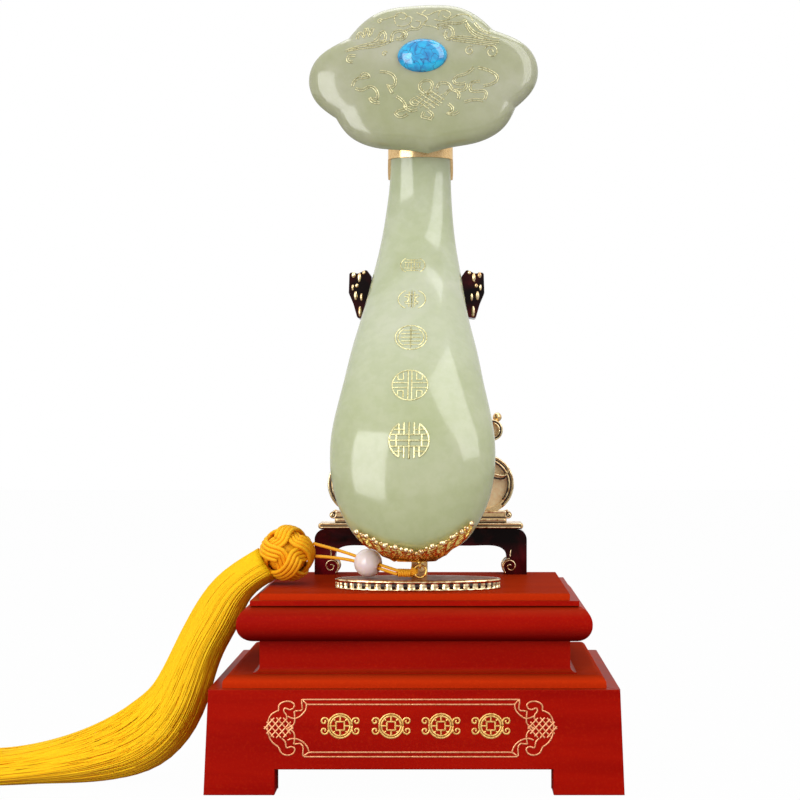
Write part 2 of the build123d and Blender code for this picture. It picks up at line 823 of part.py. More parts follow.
handle_blank = handle_solid(0)
with BuildPart() as handle_jade:
    add(handle_blank)
    add(head_blank.part, mode=Mode.SUBTRACT)
    for plane, radius in zip(medallion_planes, medallion_radii):
        with BuildSketch(plane):
            Circle(radius)
        extrude(amount=medallion_thickness + overrun, mode=Mode.SUBTRACT)
    add(pin_hole.part, mode=Mode.SUBTRACT)
finish(handle_jade.part, "handle_jade")

# Ferrule: a gilt collar round the neck, that runs on down its back and sides
ferrule_high_share = 1 - ferrule_top / handle_height
ferrule_low_share = ferrule_high_share - ferrule_height / handle_height
ferrule_low_z = handle_z + ferrule_low_share * handle_height
low_x, _, low_front, low_depth = handle_at(ferrule_low_z)
with BuildPart() as neck_collar:
    for share in (
        ferrule_low_share,
        (ferrule_low_share + ferrule_high_share) / 2,
        ferrule_high_share,
    ):
        section_plane, half_x, half_y = handle_section(share, ferrule_wall)
        with BuildSketch(section_plane):
            Ellipse(half_x, half_y)
    loft()
    add(handle_solid(ferrule_fit), mode=Mode.SUBTRACT)
    add(head_blank.part, mode=Mode.SUBTRACT)

with BuildPart() as neck_ferrule:
    add(neck_collar.part)
    split(
        bisect_by=Plane(
            origin=(low_x, low_front + ferrule_front_share * low_depth, ferrule_low_z),
            z_dir=(0, ferrule_height, ferrule_sweep),
        ),
        keep=Keep.TOP,
    )
    with BuildPart() as neck_band:
        add(neck_collar.part)
        split(
            bisect_by=Plane.XY.offset(ferrule_low_z + ferrule_height - ferrule_band),
            keep=Keep.TOP,
        )
finish(neck_ferrule.part, "neck_ferrule")

# Tail mount: a winged clasp round the handle's lower end, with a stem and an eyelet
ring_z = plate_top_z + ring_lift
eyelet_radius = 2 * eyelet_wire + link_gap
eyelet_z = ring_z + ring_radius
mount_shares = [station[0] for station in handle_station_shares[:mount_share_count]]
with BuildPart() as mount_blank:
    for share in mount_shares:
        section_plane, half_x, half_y = handle_section(share, mount_wall)
        with BuildSketch(section_plane.offset(-mount_drop)):
            Ellipse(half_x, half_y)
    loft()

with BuildPart() as tail_mount:
    with BuildSketch(Plane(origin=(0, 0, handle_z), x_dir=(1, 0, 0), z_dir=(0, -1, 0))):
        with BuildLine():
            Polyline(
                mount_tip_left,
                mount_left_mid,
                mount_dip,
                mount_right_mid,
                mount_tip_right,
                mount_right_under,
                mount_low_right,
                mount_low_left,
                mount_left_under,
                close=True,
            )
        make_face()
    extrude(amount=-handle_front_y + handle_depth)
    add(mount_blank.part, mode=Mode.INTERSECT)
    with BuildSketch(Plane(origin=(ring_x, ring_y, handle_z))):
        Circle(stem_radius)
    extrude(amount=-stem_height)
    add(handle_blank, mode=Mode.SUBTRACT)
    with Locations(Plane(origin=(ring_x, ring_y, eyelet_z), z_dir=(1, 0, 0))):
        Torus(eyelet_radius, eyelet_wire)
finish(tail_mount.part, "tail_mount")

# Yoke pad and tail seat are both cut to what they carry, a running gap away from it
lift_axis = (0, -0.5, sqrt(0.75))
gap_move = Location((0, -lift_axis[1] * rest_gap, -lift_axis[2] * rest_gap))
low_handle = handle_blank.moved(gap_move)
with BuildPart() as rest_pad:
    pad_reach = rest_depth / 4
    with BuildSketch(Plane(origin=(rest_x, yoke_front_y - pad_reach / 2, yoke_z))):
        Rectangle(pad_width, pad_reach)
    extrude(amount=yoke_height)
    add(low_handle, mode=Mode.SUBTRACT)
finish(rest_pad.part, "rest_pad")

seat_mid_y = plate_y + seat_front + seat_depth / 2
with BuildPart() as tail_seat:
    with BuildSketch(Plane(origin=(seat_x, seat_mid_y, plate_top_z))):
        Rectangle(seat_post_width, seat_depth)
    extrude(amount=seat_height)
    with BuildSketch(Plane(origin=(seat_x, seat_mid_y, plate_top_z + seat_post_height))):
        Rectangle(seat_width, seat_depth)
    extrude(amount=seat_height - seat_post_height)
    add(low_handle, mode=Mode.SUBTRACT)
    add(mount_blank.part.moved(gap_move), mode=Mode.SUBTRACT)
finish(tail_seat.part, "tail_seat")

# Ring in the eyelet, and the cord's wrapping round the ring's left side
ring_place = Plane(origin=(ring_x, ring_y, ring_z), x_dir=(-1, 0, 0), z_dir=(0, -1, 0))
with BuildPart() as tail_ring:
    with Locations(ring_place):
        Torus(ring_radius, ring_wire)
finish(tail_ring.part, "tail_ring")


def from_ring(offset):
    """A place given by its offset from the ring's middle."""
    return Vector(ring_x, ring_y, ring_z) + Vector(*offset)


# The wrapping ends square to the strands, which leave it side by side for the bead
ring_middle = from_ring((0, 0, 0))
wrap_end = from_ring(wrap_end_from_ring)
bead_middle = from_ring(bead_from_ring)
cord_way = (bead_middle - wrap_end).normalized()
strand_side = Vector(0, 1, 0).cross(cord_way).normalized() * strand_rise
wrap_start = radians(180 + wrap_half_arc)
with BuildPart() as cord_wrap:
    with BuildSketch(
        Plane(
            origin=from_ring((ring_radius * cos(wrap_start), 0, ring_radius * sin(wrap_start))),
            z_dir=(-sin(wrap_start), 0, cos(wrap_start)),
        )
    ):
        Circle(wrap_radius)
        Circle(ring_wire + wrap_fit, mode=Mode.SUBTRACT)
    revolve(axis=Axis(ring_middle, (0, 1, 0)), revolution_arc=2 * wrap_half_arc)
    wrap_tube_way = wrap_end - from_ring(wrap_tube_from_ring)
    with BuildSketch(Plane(origin=from_ring(wrap_tube_from_ring), z_dir=wrap_tube_way)):
        Circle(wrap_tube_radius)
    extrude(amount=wrap_tube_way.length + wrap_tube_radius)
    split(bisect_by=Plane(origin=wrap_end, z_dir=cord_way), keep=Keep.BOTTOM)
finish(cord_wrap.part, "cord_wrap")

strand_corners = []
for strand_name, side, later in (
    ("cord_strand_upper", 1, upper_from_ring),
    ("cord_strand_lower", -1, lower_from_ring),
):
    start = wrap_end + strand_side * side
    corners = [start, start + cord_way * first_run] + [from_ring(offset) for offset in later]
    runs = [after - before for before, after in zip(corners, corners[1:])]
    bends = []
    for before, after in zip(runs, runs[1:]):
        half_turn = radians(before.get_angle(after)) / 2
        bends.append(bend_share * min(before.length, after.length) / tan(half_turn))
    with BuildPart() as strand:
        with BuildLine() as strand_way:
            FilletPolyline(*corners, radius=bends)
        with BuildSketch(Plane(origin=start, z_dir=cord_way)):
            Circle(cord_diameter / 2)
        sweep(path=strand_way.line)
    strand_corners.append(corners)
    way_length = sum(edge.length for edge in strand_way.edges())
    print(strand_name, "bends", [round(bend, 1) for bend in bends], "long", round(way_length, 2))
    print("  volume", round(strand.part.volume, 2), "of",
          round(way_length * radians(180) * (cord_diameter / 2) ** 2, 2))
    finish(strand.part, strand_name)

with BuildPart() as bead:
    with Locations(Plane(origin=bead_middle, z_dir=cord_way)):
        Sphere(bead_radius)
        Hole(bead_bore)
finish(bead.part, "bead")

# Knot, with a socket for each strand's end
knot_middle = Vector(knot_x, knot_y, top_z + knot_rest + knot_radius)
with BuildPart() as pendant_knot:
    with Locations(knot_middle):
        Sphere(knot_radius)
    for corners in strand_corners:
        with BuildSketch(Plane(origin=corners[-1], z_dir=corners[-2] - corners[-1])):
            Circle(cord_diameter / 2 + socket_fit)
        extrude(amount=knot_radius, mode=Mode.SUBTRACT)
finish(pendant_knot.part, "pendant_knot")

# Tassel: one soft solid, lofted along its hanging line from inside the knot
tassel_line = [
    Vector(x_share * box_width / 2, y, z_share * knot_middle.Z)
    for x_share, y, z_share, half_thick, half_deep in tassel_stations
]
with BuildPart() as tassel:
    for number, station in enumerate(tassel_stations):
        before = tassel_line[max(number - 1, 0)]
        after = tassel_line[min(number + 1, len(tassel_line) - 1)]
        with BuildSketch(
            Plane(origin=tassel_line[number], x_dir=(0, 1, 0), z_dir=after - before)
        ):
            Ellipse(station[4], station[3])
    loft()
    with Locations(knot_middle):
        Sphere(knot_radius, mode=Mode.SUBTRACT)
finish(tassel.part, "tassel")

print(len(written), "nodes written")
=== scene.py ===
"""Jade ruyi scepter on a gilt stand and a red lacquer plinth, with a silk tassel at its tail."""
import json

import bpy
import numpy as np
from mathutils import Matrix, Vector


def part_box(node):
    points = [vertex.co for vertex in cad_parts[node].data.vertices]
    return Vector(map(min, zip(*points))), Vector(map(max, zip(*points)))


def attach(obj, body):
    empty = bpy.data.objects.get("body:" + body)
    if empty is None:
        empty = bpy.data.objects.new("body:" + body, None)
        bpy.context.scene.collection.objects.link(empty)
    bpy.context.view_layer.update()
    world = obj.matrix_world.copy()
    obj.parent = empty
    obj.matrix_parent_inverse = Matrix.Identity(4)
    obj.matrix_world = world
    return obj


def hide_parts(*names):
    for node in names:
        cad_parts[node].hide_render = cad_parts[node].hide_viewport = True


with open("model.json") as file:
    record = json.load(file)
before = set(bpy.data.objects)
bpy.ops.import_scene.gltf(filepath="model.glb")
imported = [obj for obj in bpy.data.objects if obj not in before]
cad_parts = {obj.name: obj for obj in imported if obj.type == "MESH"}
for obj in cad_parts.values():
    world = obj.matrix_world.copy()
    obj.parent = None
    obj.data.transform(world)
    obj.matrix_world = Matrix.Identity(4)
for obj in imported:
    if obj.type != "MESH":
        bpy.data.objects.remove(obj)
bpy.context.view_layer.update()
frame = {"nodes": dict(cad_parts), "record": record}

MM = 0.001
TURN = 2 * np.pi
to_back, to_front = (0, 1, 0), (0, -1, 0)


# Camera, floor and light


def look_at(obj, place, target):
    """Stand obj at place with its -Z axis towards target and its +Y axis as near up as it goes."""
    obj.location = place
    way = Vector(target) - Vector(place)
    obj.rotation_euler = way.to_track_quat("-Z", "Y").to_euler()


camera_data = bpy.data.cameras.new("camera")
camera_data.lens = 66.15
camera_data.sensor_width = 36
camera_data.shift_x = -0.0675
camera_data.shift_y = 0.02
camera_data.clip_start = 0.01
camera = bpy.data.objects.new("camera", camera_data)
bpy.context.scene.collection.objects.link(camera)
camera.location = (0.020, -0.800, 0.19075)
camera.rotation_euler = (np.pi / 2, 0, 0)
bpy.context.scene.camera = camera
bpy.context.scene.view_settings.view_transform = "Standard"


def softbox(name, place, target, size, power):
    """A rectangular lamp of the given size at place, turned towards target."""
    data = bpy.data.lights.new(name, "AREA")
    data.shape = "RECTANGLE"
    data.size, data.size_y = size
    data.energy = power
    lamp = bpy.data.objects.new(name, data)
    bpy.context.scene.collection.objects.link(lamp)
    look_at(lamp, place, target)


softbox("window_left", (-0.72, -1.02, 0.50), (0.0, 0.0, 0.18), (0.75, 1.15), 9.5)
softbox("window_right", (0.95, -0.80, 1.25), (0.0, 0.0, 0.24), (0.80, 1.80), 11.5)
softbox("ceiling", (0.05, 0.35, 1.25), (0.0, 0.0, 0.15), (0.9, 0.6), 4.0)


def empty_tree(owner):
    """The node tree of a material or a world, with nothing in it yet."""
    owner.use_nodes = True
    owner.node_tree.nodes.clear()
    return owner.node_tree


def add_node(tree, kind, inlets, outlet=0, **settings):
    """Add a node, and give back one of its outlets.

    An inlet gets a link where its value is another node's outlet, and else the value itself.
    """
    node = tree.nodes.new("ShaderNode" + kind)
    for setting, value in settings.items():
        setattr(node, setting, value)
    for inlet, value in inlets.items():
        if isinstance(value, bpy.types.NodeSocket):
            tree.links.new(value, node.inputs[inlet])
        else:
            node.inputs[inlet].default_value = value
    return node.outputs[outlet] if node.outputs else None


white = (1, 1, 1, 1)


def studio_world():
    """White for the camera and through glass, most of it in gloss; softer for what it lights."""
    world = bpy.data.worlds.new("studio")
    bpy.context.scene.world = world
    tree = empty_tree(world)
    rays = tree.nodes.new("ShaderNodeLightPath").outputs
    lit = add_node(tree, "Background", {"Color": (1, 0.99, 0.98, 1), "Strength": 0.52})
    seen = add_node(tree, "Background", {"Color": white, "Strength": 1.0})
    straight = {0: rays["Is Camera Ray"], 1: rays["Is Transmission Ray"]}
    share = add_node(tree, "Math", straight, operation="MAXIMUM")
    in_gloss = {0: rays["Is Glossy Ray"], 1: 0.75, 2: share}
    share = add_node(tree, "Math", in_gloss, operation="MULTIPLY_ADD")
    mix = add_node(tree, "MixShader", {0: share, 1: lit, 2: seen})
    add_node(tree, "OutputWorld", {"Surface": mix})


studio_world()


def floor_material():
    """Matt grey that keeps a faint shadow: most of its look for the camera is its own white."""
    material = bpy.data.materials.new("studio_floor")
    tree = empty_tree(material)
    matt = add_node(tree, "BsdfDiffuse", {"Color": (0.50, 0.50, 0.50, 1)})
    glow = add_node(tree, "Emission", {"Color": white, "Strength": 1.0})
    seen = add_node(tree, "LightPath", {}, "Is Camera Ray")
    share = add_node(tree, "Math", {0: seen, 1: 0.985}, operation="MULTIPLY")
    mix = add_node(tree, "MixShader", {0: share, 1: matt, 2: glow})
    add_node(tree, "OutputMaterial", {"Surface": mix})
    return material


floor_mesh = bpy.data.meshes.new("floor")
floor_mesh.from_pydata(
    [(-3, -3, 0), (3, -3, 0), (3, 3, 0), (-3, 3, 0)], [], [(0, 1, 2, 3)]
)
floor = bpy.data.objects.new("floor", floor_mesh)
bpy.context.scene.collection.objects.link(floor)
floor.data.materials.append(floor_material())


# Finishes


class Finish:
    """A material's nodes, with short calls for the kinds of node that the finishes share."""

    def __init__(self, name, **sockets):
        self.material = bpy.data.materials.new(name)
        self.tree = empty_tree(self.material)
        self.shader = self.tree.nodes.new("ShaderNodeBsdfPrincipled")
        self.node("OutputMaterial", {"Surface": self.shader.outputs[0]})
        for socket, value in sockets.items():
            self.shader.inputs[socket.replace("_", " ")].default_value = value
        self.place = self.node("TexCoord", {}, "Object")

    def node(self, kind, inlets, outlet=0, **settings):
        """Add a node to this material, as add_node does."""
        return add_node(self.tree, kind, inlets, outlet, **settings)

    def link(self, outlet, socket):
        """Join an outlet to one of the shader's sockets."""
        self.tree.links.new(outlet, self.shader.inputs[socket])

    def stretched(self, scale, turn=(0, 0, 0)):
        """Object coordinates, scaled by the given three numbers and then turned."""
        return self.node("Mapping", {"Vector": self.place, "Rotation": turn, "Scale": scale})

    def height(self):
        """Height over the ground, in metres."""
        return self.node("SeparateXYZ", {0: self.place}, "Z")

    def facing_up(self):
        """How far the surface looks up, from -1 to 1."""
        return self.node("SeparateXYZ", {0: self.node("NewGeometry", {}, "Normal")}, "Z")

    def noise(self, scale, detail=3, rough=0.5, warp=0, place=None):
        """Cloudy noise at a scale in cycles per metre."""
        look = {"Scale": scale, "Detail": detail, "Roughness": rough, "Distortion": warp}
        return self.node("TexNoise", {"Vector": place or self.place, **look})

    def ramp(self, value, *stops):
        """Colours at stops from 0 to 1, read at value."""
        ramp = self.tree.nodes.new("ShaderNodeValToRGB")
        marks = ramp.color_ramp.elements
        while len(marks) < len(stops):
            marks.new(0.5)
        for mark, (where, colour) in zip(marks, stops):
            mark.position = where
            mark.color = (*colour, 1)
        self.tree.links.new(value, ramp.inputs["Fac"])
        return ramp.outputs["Color"]

    def level(self, value, low, high, from_low=0.0, from_high=1.0):
        """A number that runs from low to high as value runs between its own two ends."""
        ends = {"From Min": from_low, "From Max": from_high, "To Min": low, "To Max": high}
        return self.node("MapRange", {"Value": value, **ends}, "Result")

    def blend(self, share, first, second, kind="MIX"):
        """Two colours mixed by share, each an outlet or a plain colour."""
        pair = [
            colour if isinstance(colour, bpy.types.NodeSocket) else (*colour, 1)
            for colour in (first, second)
        ]
        inlets = {0: share, 6: pair[0], 7: pair[1]}
        return self.node("Mix", inlets, 2, data_type="RGBA", blend_type=kind)

    def bump(self, height, depth, strength):
        """Raise the surface by a height pattern; depth is in metres."""
        raise_by = {"Height": height, "Distance": depth, "Strength": strength}
        self.link(self.node("Bump", raise_by), "Normal")


def polished_jade(name, pale, deep, cloud, painted_warm_reflection=None):
    """Milky stone: soft clouds, finer flecks, light that soaks in, and a glassy polish.

    painted_warm_reflection is a painted warm reflection of the gilt and red lacquer below, which also
    darkens the stone towards the foot of the handle.
    """
    finish = Finish(
        name,
        IOR=1.6,
        Subsurface_Weight=0.35,
        Subsurface_Radius=(0.9, 1.0, 0.55),
        Subsurface_Scale=0.006,
        Coat_Weight=0.25,
        Coat_Roughness=0.03,
    )
    clouds = finish.noise(14, 4, 0.55, 0.6)
    flecks = finish.noise(160, 3, 0.6)
    body = finish.ramp(clouds, (0.34, deep), (0.52, pale), (0.72, cloud))
    fleck = finish.ramp(flecks, (0.40, (0.93, 0.94, 0.90)), (0.60, (1.0, 1.0, 1.0)))
    body = finish.blend(0.8, body, fleck, "MULTIPLY")
    # Painted reflection and shade: a warm, darker tint, whole below whole_z and gone above clear_z.
    if painted_warm_reflection:
        whole_z, clear_z = 0.120, 0.230
        warm_reflection_share = finish.level(finish.height(), 1.0, 0.0, whole_z, clear_z)
        warm = finish.blend(1.0, body, painted_warm_reflection, "MULTIPLY")
        body = finish.blend(warm_reflection_share, body, warm)
    finish.link(body, "Base Color")
    finish.link(finish.level(finish.noise(60, 2), 0.10, 0.17), "Roughness")
    return finish.material


# The last colour is the painted warm reflection towards the handle's foot.
jade = polished_jade(
    "jade", (0.515, 0.555, 0.375), (0.460, 0.505, 0.305), (0.570, 0.595, 0.450), (0.85, 0.84, 0.66)
)
olive_jade = polished_jade(
    "olive_jade", (0.400, 0.405, 0.265), (0.355, 0.370, 0.205), (0.470, 0.470, 0.350)
)


def red_lacquer(name="red_lacquer", rub=0.0):
    """Deep red lacquer: brush waves and rubbed specks, with a painted browner reflection on faces that
    look up and painted shade on faces that look down.

    rub is the share of the surface that is rubbed; the gloss goes down with it.
    """
    gloss = 0.03 * (1 - rub) ** 3
    finish = Finish(name, Specular_IOR_Level=gloss, Coat_Weight=gloss, Coat_Roughness=0.12)
    grain = finish.noise(38, 5, 0.6, 0.3, finish.stretched((0.25, 1.0, 2.4)))
    specks = finish.level(finish.noise(900, 2, 0.5), rub, 0.22 + rub, 0.5, 0.8)
    body = finish.ramp(grain, (0.30, (0.290, 0.002, 0.0004)), (0.70, (0.385, 0.005, 0.0006)))
    body = finish.blend(specks, body, (0.56, 0.034, 0.004))
    # Painted light: faces that look up take a browner painted reflection, and faces that look down take
    # a near-black painted shade.
    facing = finish.facing_up()
    top_reflection_share = finish.level(facing, 0.0, 0.85, 0.35, 0.95)
    painted_shade_share = finish.level(facing, 1.0, 0.0, -0.85, -0.05)
    painted_top_reflection = finish.ramp(grain, (0.30, (0.25, 0.014, 0.002)), (0.70, (0.35, 0.028, 0.005)))
    body = finish.blend(painted_shade_share, body, (0.10, 0.0005, 0.0004))
    finish.link(finish.blend(top_reflection_share, body, painted_top_reflection), "Base Color")
    finish.link(finish.level(grain, 0.34, 0.46), "Roughness")
    finish.bump(grain, 0.00012, 0.35)
    return finish.material


lacquer = red_lacquer()
rubbed_lacquer = red_lacquer("rubbed_lacquer", 0.78)


def gilt(name, light, shade, roughness, scale, depth=0.00010):
    """Cast and gilded metal: uneven polish, darker hollows and small hammer marks."""
    finish = Finish(name, Metallic=1.0)
    pits = finish.noise(scale, 4, 0.6, 0.4)
    polish = finish.level(finish.noise(scale / 3, 2), roughness * 0.7, roughness * 1.5)
    finish.link(finish.ramp(pits, (0.33, shade), (0.55, light)), "Base Color")
    finish.link(polish, "Roughness")
    finish.bump(pits, depth, 0.5)
    return finish.material


gilt_metal = gilt("gilt_metal", (0.86, 0.60, 0.30), (0.72, 0.45, 0.19), 0.15, 1100, 0.00003)
brown_gilt = gilt("brown_gilt", (0.42, 0.17, 0.07), (0.20, 0.05, 0.02), 0.30, 500, 0.00005)
# Painted highlight: this paler gilt stands where highlights fall, on the plate's ribs, the clasp's
# beads, the stand's edge lines and curls, and the arms' drops.
highlight_gilt = gilt("highlight_gilt", (0.98, 0.80, 0.48), (0.42, 0.20, 0.07), 0.12, 420, 0.00006)
filigree_gold = gilt("filigree_gold", (1.00, 0.72, 0.20), (0.40, 0.12, 0.01), 0.20, 520)
inlay_gold = gilt("inlay_gold", (0.95, 0.46, 0.24), (0.62, 0.22, 0.08), 0.34, 900)
motif_gold = gilt("motif_gold", (0.92, 0.58, 0.20), (0.60, 0.28, 0.06), 0.34, 900)
pale_gold = gilt("pale_gold", (0.90, 0.86, 0.50), (0.50, 0.42, 0.16), 0.26, 1200, 0.00005)
soft_gold = gilt("soft_gold", (0.74, 0.70, 0.42), (0.30, 0.25, 0.10), 0.34, 900, 0.00005)


def dark_enamel():
    """Almost black brown enamel with a wet gloss, and a painted wine red reflection of the red lacquer
    plinth towards the feet.
    """
    gloss = {"Specular_IOR_Level": 0.05, "Coat_Weight": 0.06, "Coat_Roughness": 0.04}
    finish = Finish("dark_enamel", Roughness=0.12, **gloss)
    patches = finish.noise(42, 3, 0.5, 0.8)
    body = finish.ramp(
        patches,
        (0.45, (0.006, 0.003, 0.003)),
        (0.64, (0.034, 0.004, 0.005)),
        (0.82, (0.110, 0.008, 0.010)),
    )
    # Painted reflection: below these heights the enamel takes a wine red for the red plinth reflected in
    # it.
    red_reflection_z, dark_z = 0.110, 0.119
    red_reflection_share = finish.level(finish.height(), 0.85, 0.0, red_reflection_z, dark_z)
    painted_red_reflection = finish.ramp(patches, (0.40, (0.055, 0.004, 0.005)), (0.62, (0.190, 0.006, 0.012)))
    finish.link(finish.blend(red_reflection_share, body, painted_red_reflection), "Base Color")
    finish.bump(finish.noise(600, 2), 0.00005, 0.4)
    return finish.material


enamel = dark_enamel()


def painted_shade_brown():
    """The dark brown of painted shade, for sheets and lines set in the hollows and grooves of gilt work.
    """
    finish = Finish("painted_shade_brown")
    shade_noise = finish.noise(700, 3, 0.6)
    brown = finish.ramp(shade_noise, (0.35, (0.006, 0.003, 0.002)), (0.70, (0.040, 0.012, 0.006)))
    finish.link(brown, "Base Color")
    finish.link(finish.level(shade_noise, 0.28, 0.5), "Roughness")
    return finish.material


hollow_shade = painted_shade_brown()


def peach_enamel():
    """Satin peach enamel with a slightly browner, grainy cast."""
    finish = Finish("peach_enamel", Roughness=0.42, Coat_Weight=0.2)
    grain = finish.noise(500, 4, 0.6)
    satin = finish.ramp(grain, (0.30, (0.95, 0.66, 0.33)), (0.65, (1.00, 0.82, 0.50)))
    finish.link(satin, "Base Color")
    finish.bump(grain, 0.00006, 0.5)
    return finish.material


peach = peach_enamel()


def silk(name, light, shade, fine, depth):
    """Silk: a fine flattened grain of two colours, deeper where it drifts, a painted orange-brown shade
    where it faces down, and a sheen.
    """
    finish = Finish(
        name,
        Roughness=0.6,
        Specular_IOR_Level=0.2,
        Sheen_Weight=0.25,
        Sheen_Roughness=0.40,
        Sheen_Tint=(1.0, 0.72, 0.05, 1),
        Subsurface_Weight=0.04,
        Subsurface_Radius=(1.0, 0.6, 0.1),
        Subsurface_Scale=0.001,
    )
    lay = finish.noise(fine, 3, 0.6, 0.2, finish.stretched((1.0, 1.0, 1.6), (0.5, 0.7, 0.2)))
    drift = finish.noise(40, 2)
    body = finish.ramp(lay, (0.36, shade), (0.60, light))
    body = finish.blend(finish.level(drift, 0.0, 0.35, 0.35, 0.7), body, shade)
    # Painted shade: faces that look down take a warm orange-brown.
    painted_shade_share = finish.level(finish.facing_up(), 0.75, 0.0, -0.9, 0.15)
    finish.link(finish.blend(painted_shade_share, body, (0.90, 0.24, 0.003)), "Base Color")
    finish.bump(lay, depth, 0.6)
    return finish.material


cord_silk = silk("cord_silk", (1.0, 0.56, 0.040), (0.93, 0.36, 0.010), 2600, 0.00012)
knot_silk = silk("knot_silk", (1.0, 0.58, 0.012), (1.0, 0.42, 0.004), 2600, 0.00012)
tassel_silk = silk("tassel_silk", (1.0, 0.70, 0.004), (1.0, 0.55, 0.002), 3200, 0.00008)


def turquoise():
    """Bright blue stone with a warped net of dark veins and pale clouded patches."""
    finish = Finish("turquoise", Roughness=0.10, IOR=1.6, Coat_Weight=0.5, Coat_Roughness=0.02)
    drift = finish.node("TexNoise", {"Vector": finish.place, "Scale": 180}, "Color")
    warped = finish.node("Mix", {0: 0.007, 4: finish.place, 5: drift}, 1, data_type="VECTOR")
    cells = {"Vector": warped, "Scale": 190}
    edge = finish.node("TexVoronoi", cells, "Distance", feature="DISTANCE_TO_EDGE")
    stone = finish.ramp(
        finish.noise(150, 4, 0.6),
        (0.35, (0.001, 0.22, 0.54)),
        (0.50, (0.002, 0.39, 0.74)),
        (0.68, (0.006, 0.56, 0.86)),
    )
    vein = finish.level(edge, 0.90, 0.0, 0.0, 0.050)
    finish.link(finish.blend(vein, stone, (0.003, 0.04, 0.22)), "Base Color")
    return finish.material


turquoise_stone = turquoise()


def plain(name, colour, shade, roughness, scale, metallic=0.0, depth=0.0001):
    """A quiet finish with a fine two-colour grain."""
    finish = Finish(name, Roughness=roughness, Metallic=metallic)
    grain = finish.noise(scale, 4, 0.6)
    finish.link(finish.ramp(grain, (0.35, shade), (0.65, colour)), "Base Color")
    finish.bump(grain, depth, 0.6)
    return finish.material


felt = plain("felt", (0.045, 0.040, 0.038), (0.020, 0.018, 0.017), 0.95, 1500)
bare_wood = plain("bare_wood", (0.46, 0.30, 0.16), (0.30, 0.17, 0.08), 0.7, 90)
steel = plain("steel", (0.62, 0.61, 0.60), (0.45, 0.44, 0.43), 0.32, 700, 1.0)
quartz = polished_jade("pink_quartz", (1.0, 0.86, 0.84), (0.95, 0.76, 0.76), (1.0, 0.95, 0.98))


# Surfaces


def natural_spline(knots, values, at):
    """Cubic spline through values at knots, its second slope nil at both ends.

    Between two knots h apart, at a share b past the first and a = 1 - b before the second, the
    value is a*y0 + b*y1 + ((a^3 - a)*m0 + (b^3 - b)*m1) * h^2 / 6, where m are second slopes
    that solve the three-term system of the joints.
    """
    knots = np.asarray(knots, float)
    values = np.asarray(values, float)
    flat = values.ndim == 1
    values = values.reshape(len(knots), -1)
    gaps = np.diff(knots)
    slopes = np.diff(values, axis=0) / gaps[:, None]
    system = np.eye(len(knots))
    inner = np.arange(1, len(knots) - 1)
    system[inner, inner - 1] = gaps[:-1]
    system[inner, inner] = 2 * (gaps[:-1] + gaps[1:])
    system[inner, inner + 1] = gaps[1:]
    right = np.zeros_like(values)
    right[1:-1] = 6 * np.diff(slopes, axis=0)
    seconds = np.linalg.solve(system, right)
    at = np.asarray(at, float)
    cell = np.clip(np.searchsorted(knots, at) - 1, 0, len(gaps) - 1)
    gap = gaps[cell][:, None]
    b = (at - knots[cell])[:, None] / gap
    a = 1 - b
    result = (
        a * values[cell]
        + b * values[cell + 1]
        + ((a**3 - a) * seconds[cell] + (b**3 - b) * seconds[cell + 1]) * gap**2 / 6
    )
    return result[:, 0] if flat else result


def unit(vectors):
    """The vectors, each at a length of one."""
    return vectors / np.linalg.norm(vectors, axis=-1, keepdims=True)


def run_lengths(points):
    """The length along a line's straight runs from its first point to each of its points."""
    return np.r_[0, np.cumsum(np.linalg.norm(np.diff(points, axis=0), axis=1))]


def through(points, count):
    """A smooth line of count points through the given ones, even in chord length."""
    points = np.asarray(points, float)
    chord = run_lengths(points)
    return natural_spline(chord, points, np.linspace(0, chord[-1], count))


def ball_grid(rows, cols, cap):
    """A ball of radius one: (sin u cos v, sin u sin v, cos u), with u from cap to pi - cap."""
    u = np.linspace(cap, np.pi - cap, rows)[:, None]
    v = np.arange(cols)[None] * TURN / cols
    return np.stack([np.sin(u) * np.cos(v), np.sin(u) * np.sin(v), np.cos(u) + 0 * v], -1)


def ring_faces(rows, cols, closed_rows):
    """Quads between the rings of a grid, round each ring, and from last to first if closed."""
    r = np.arange(rows if closed_rows else rows - 1)[:, None]
    c = np.arange(cols)[None, :]
    r2, c2 = (r + 1) % rows, (c + 1) % cols
    quads = [r * cols + c, r * cols + c2, r2 * cols + c2, r2 * cols + c]
    return np.stack(quads, -1).reshape(-1, 4)


def shell(grid, closed_rows=False):
    """A closed skin over a grid of rings; ends that don't meet are closed with a fan."""
    rows, cols = grid.shape[:2]
    points = grid.reshape(-1, 3)
    faces = ring_faces(rows, cols, closed_rows).tolist()
    if not closed_rows:
        points = np.vstack([points, grid[0].mean(0), grid[-1].mean(0)])
        ring = np.arange(cols)
        after = (ring + 1) % cols
        first, last = rows * cols, rows * cols + 1
        faces += np.stack([after, ring, np.full(cols, first)], 1).tolist()
        top = (rows - 1) * cols
        faces += np.stack([top + ring, top + after, np.full(cols, last)], 1).tolist()
    return points, faces


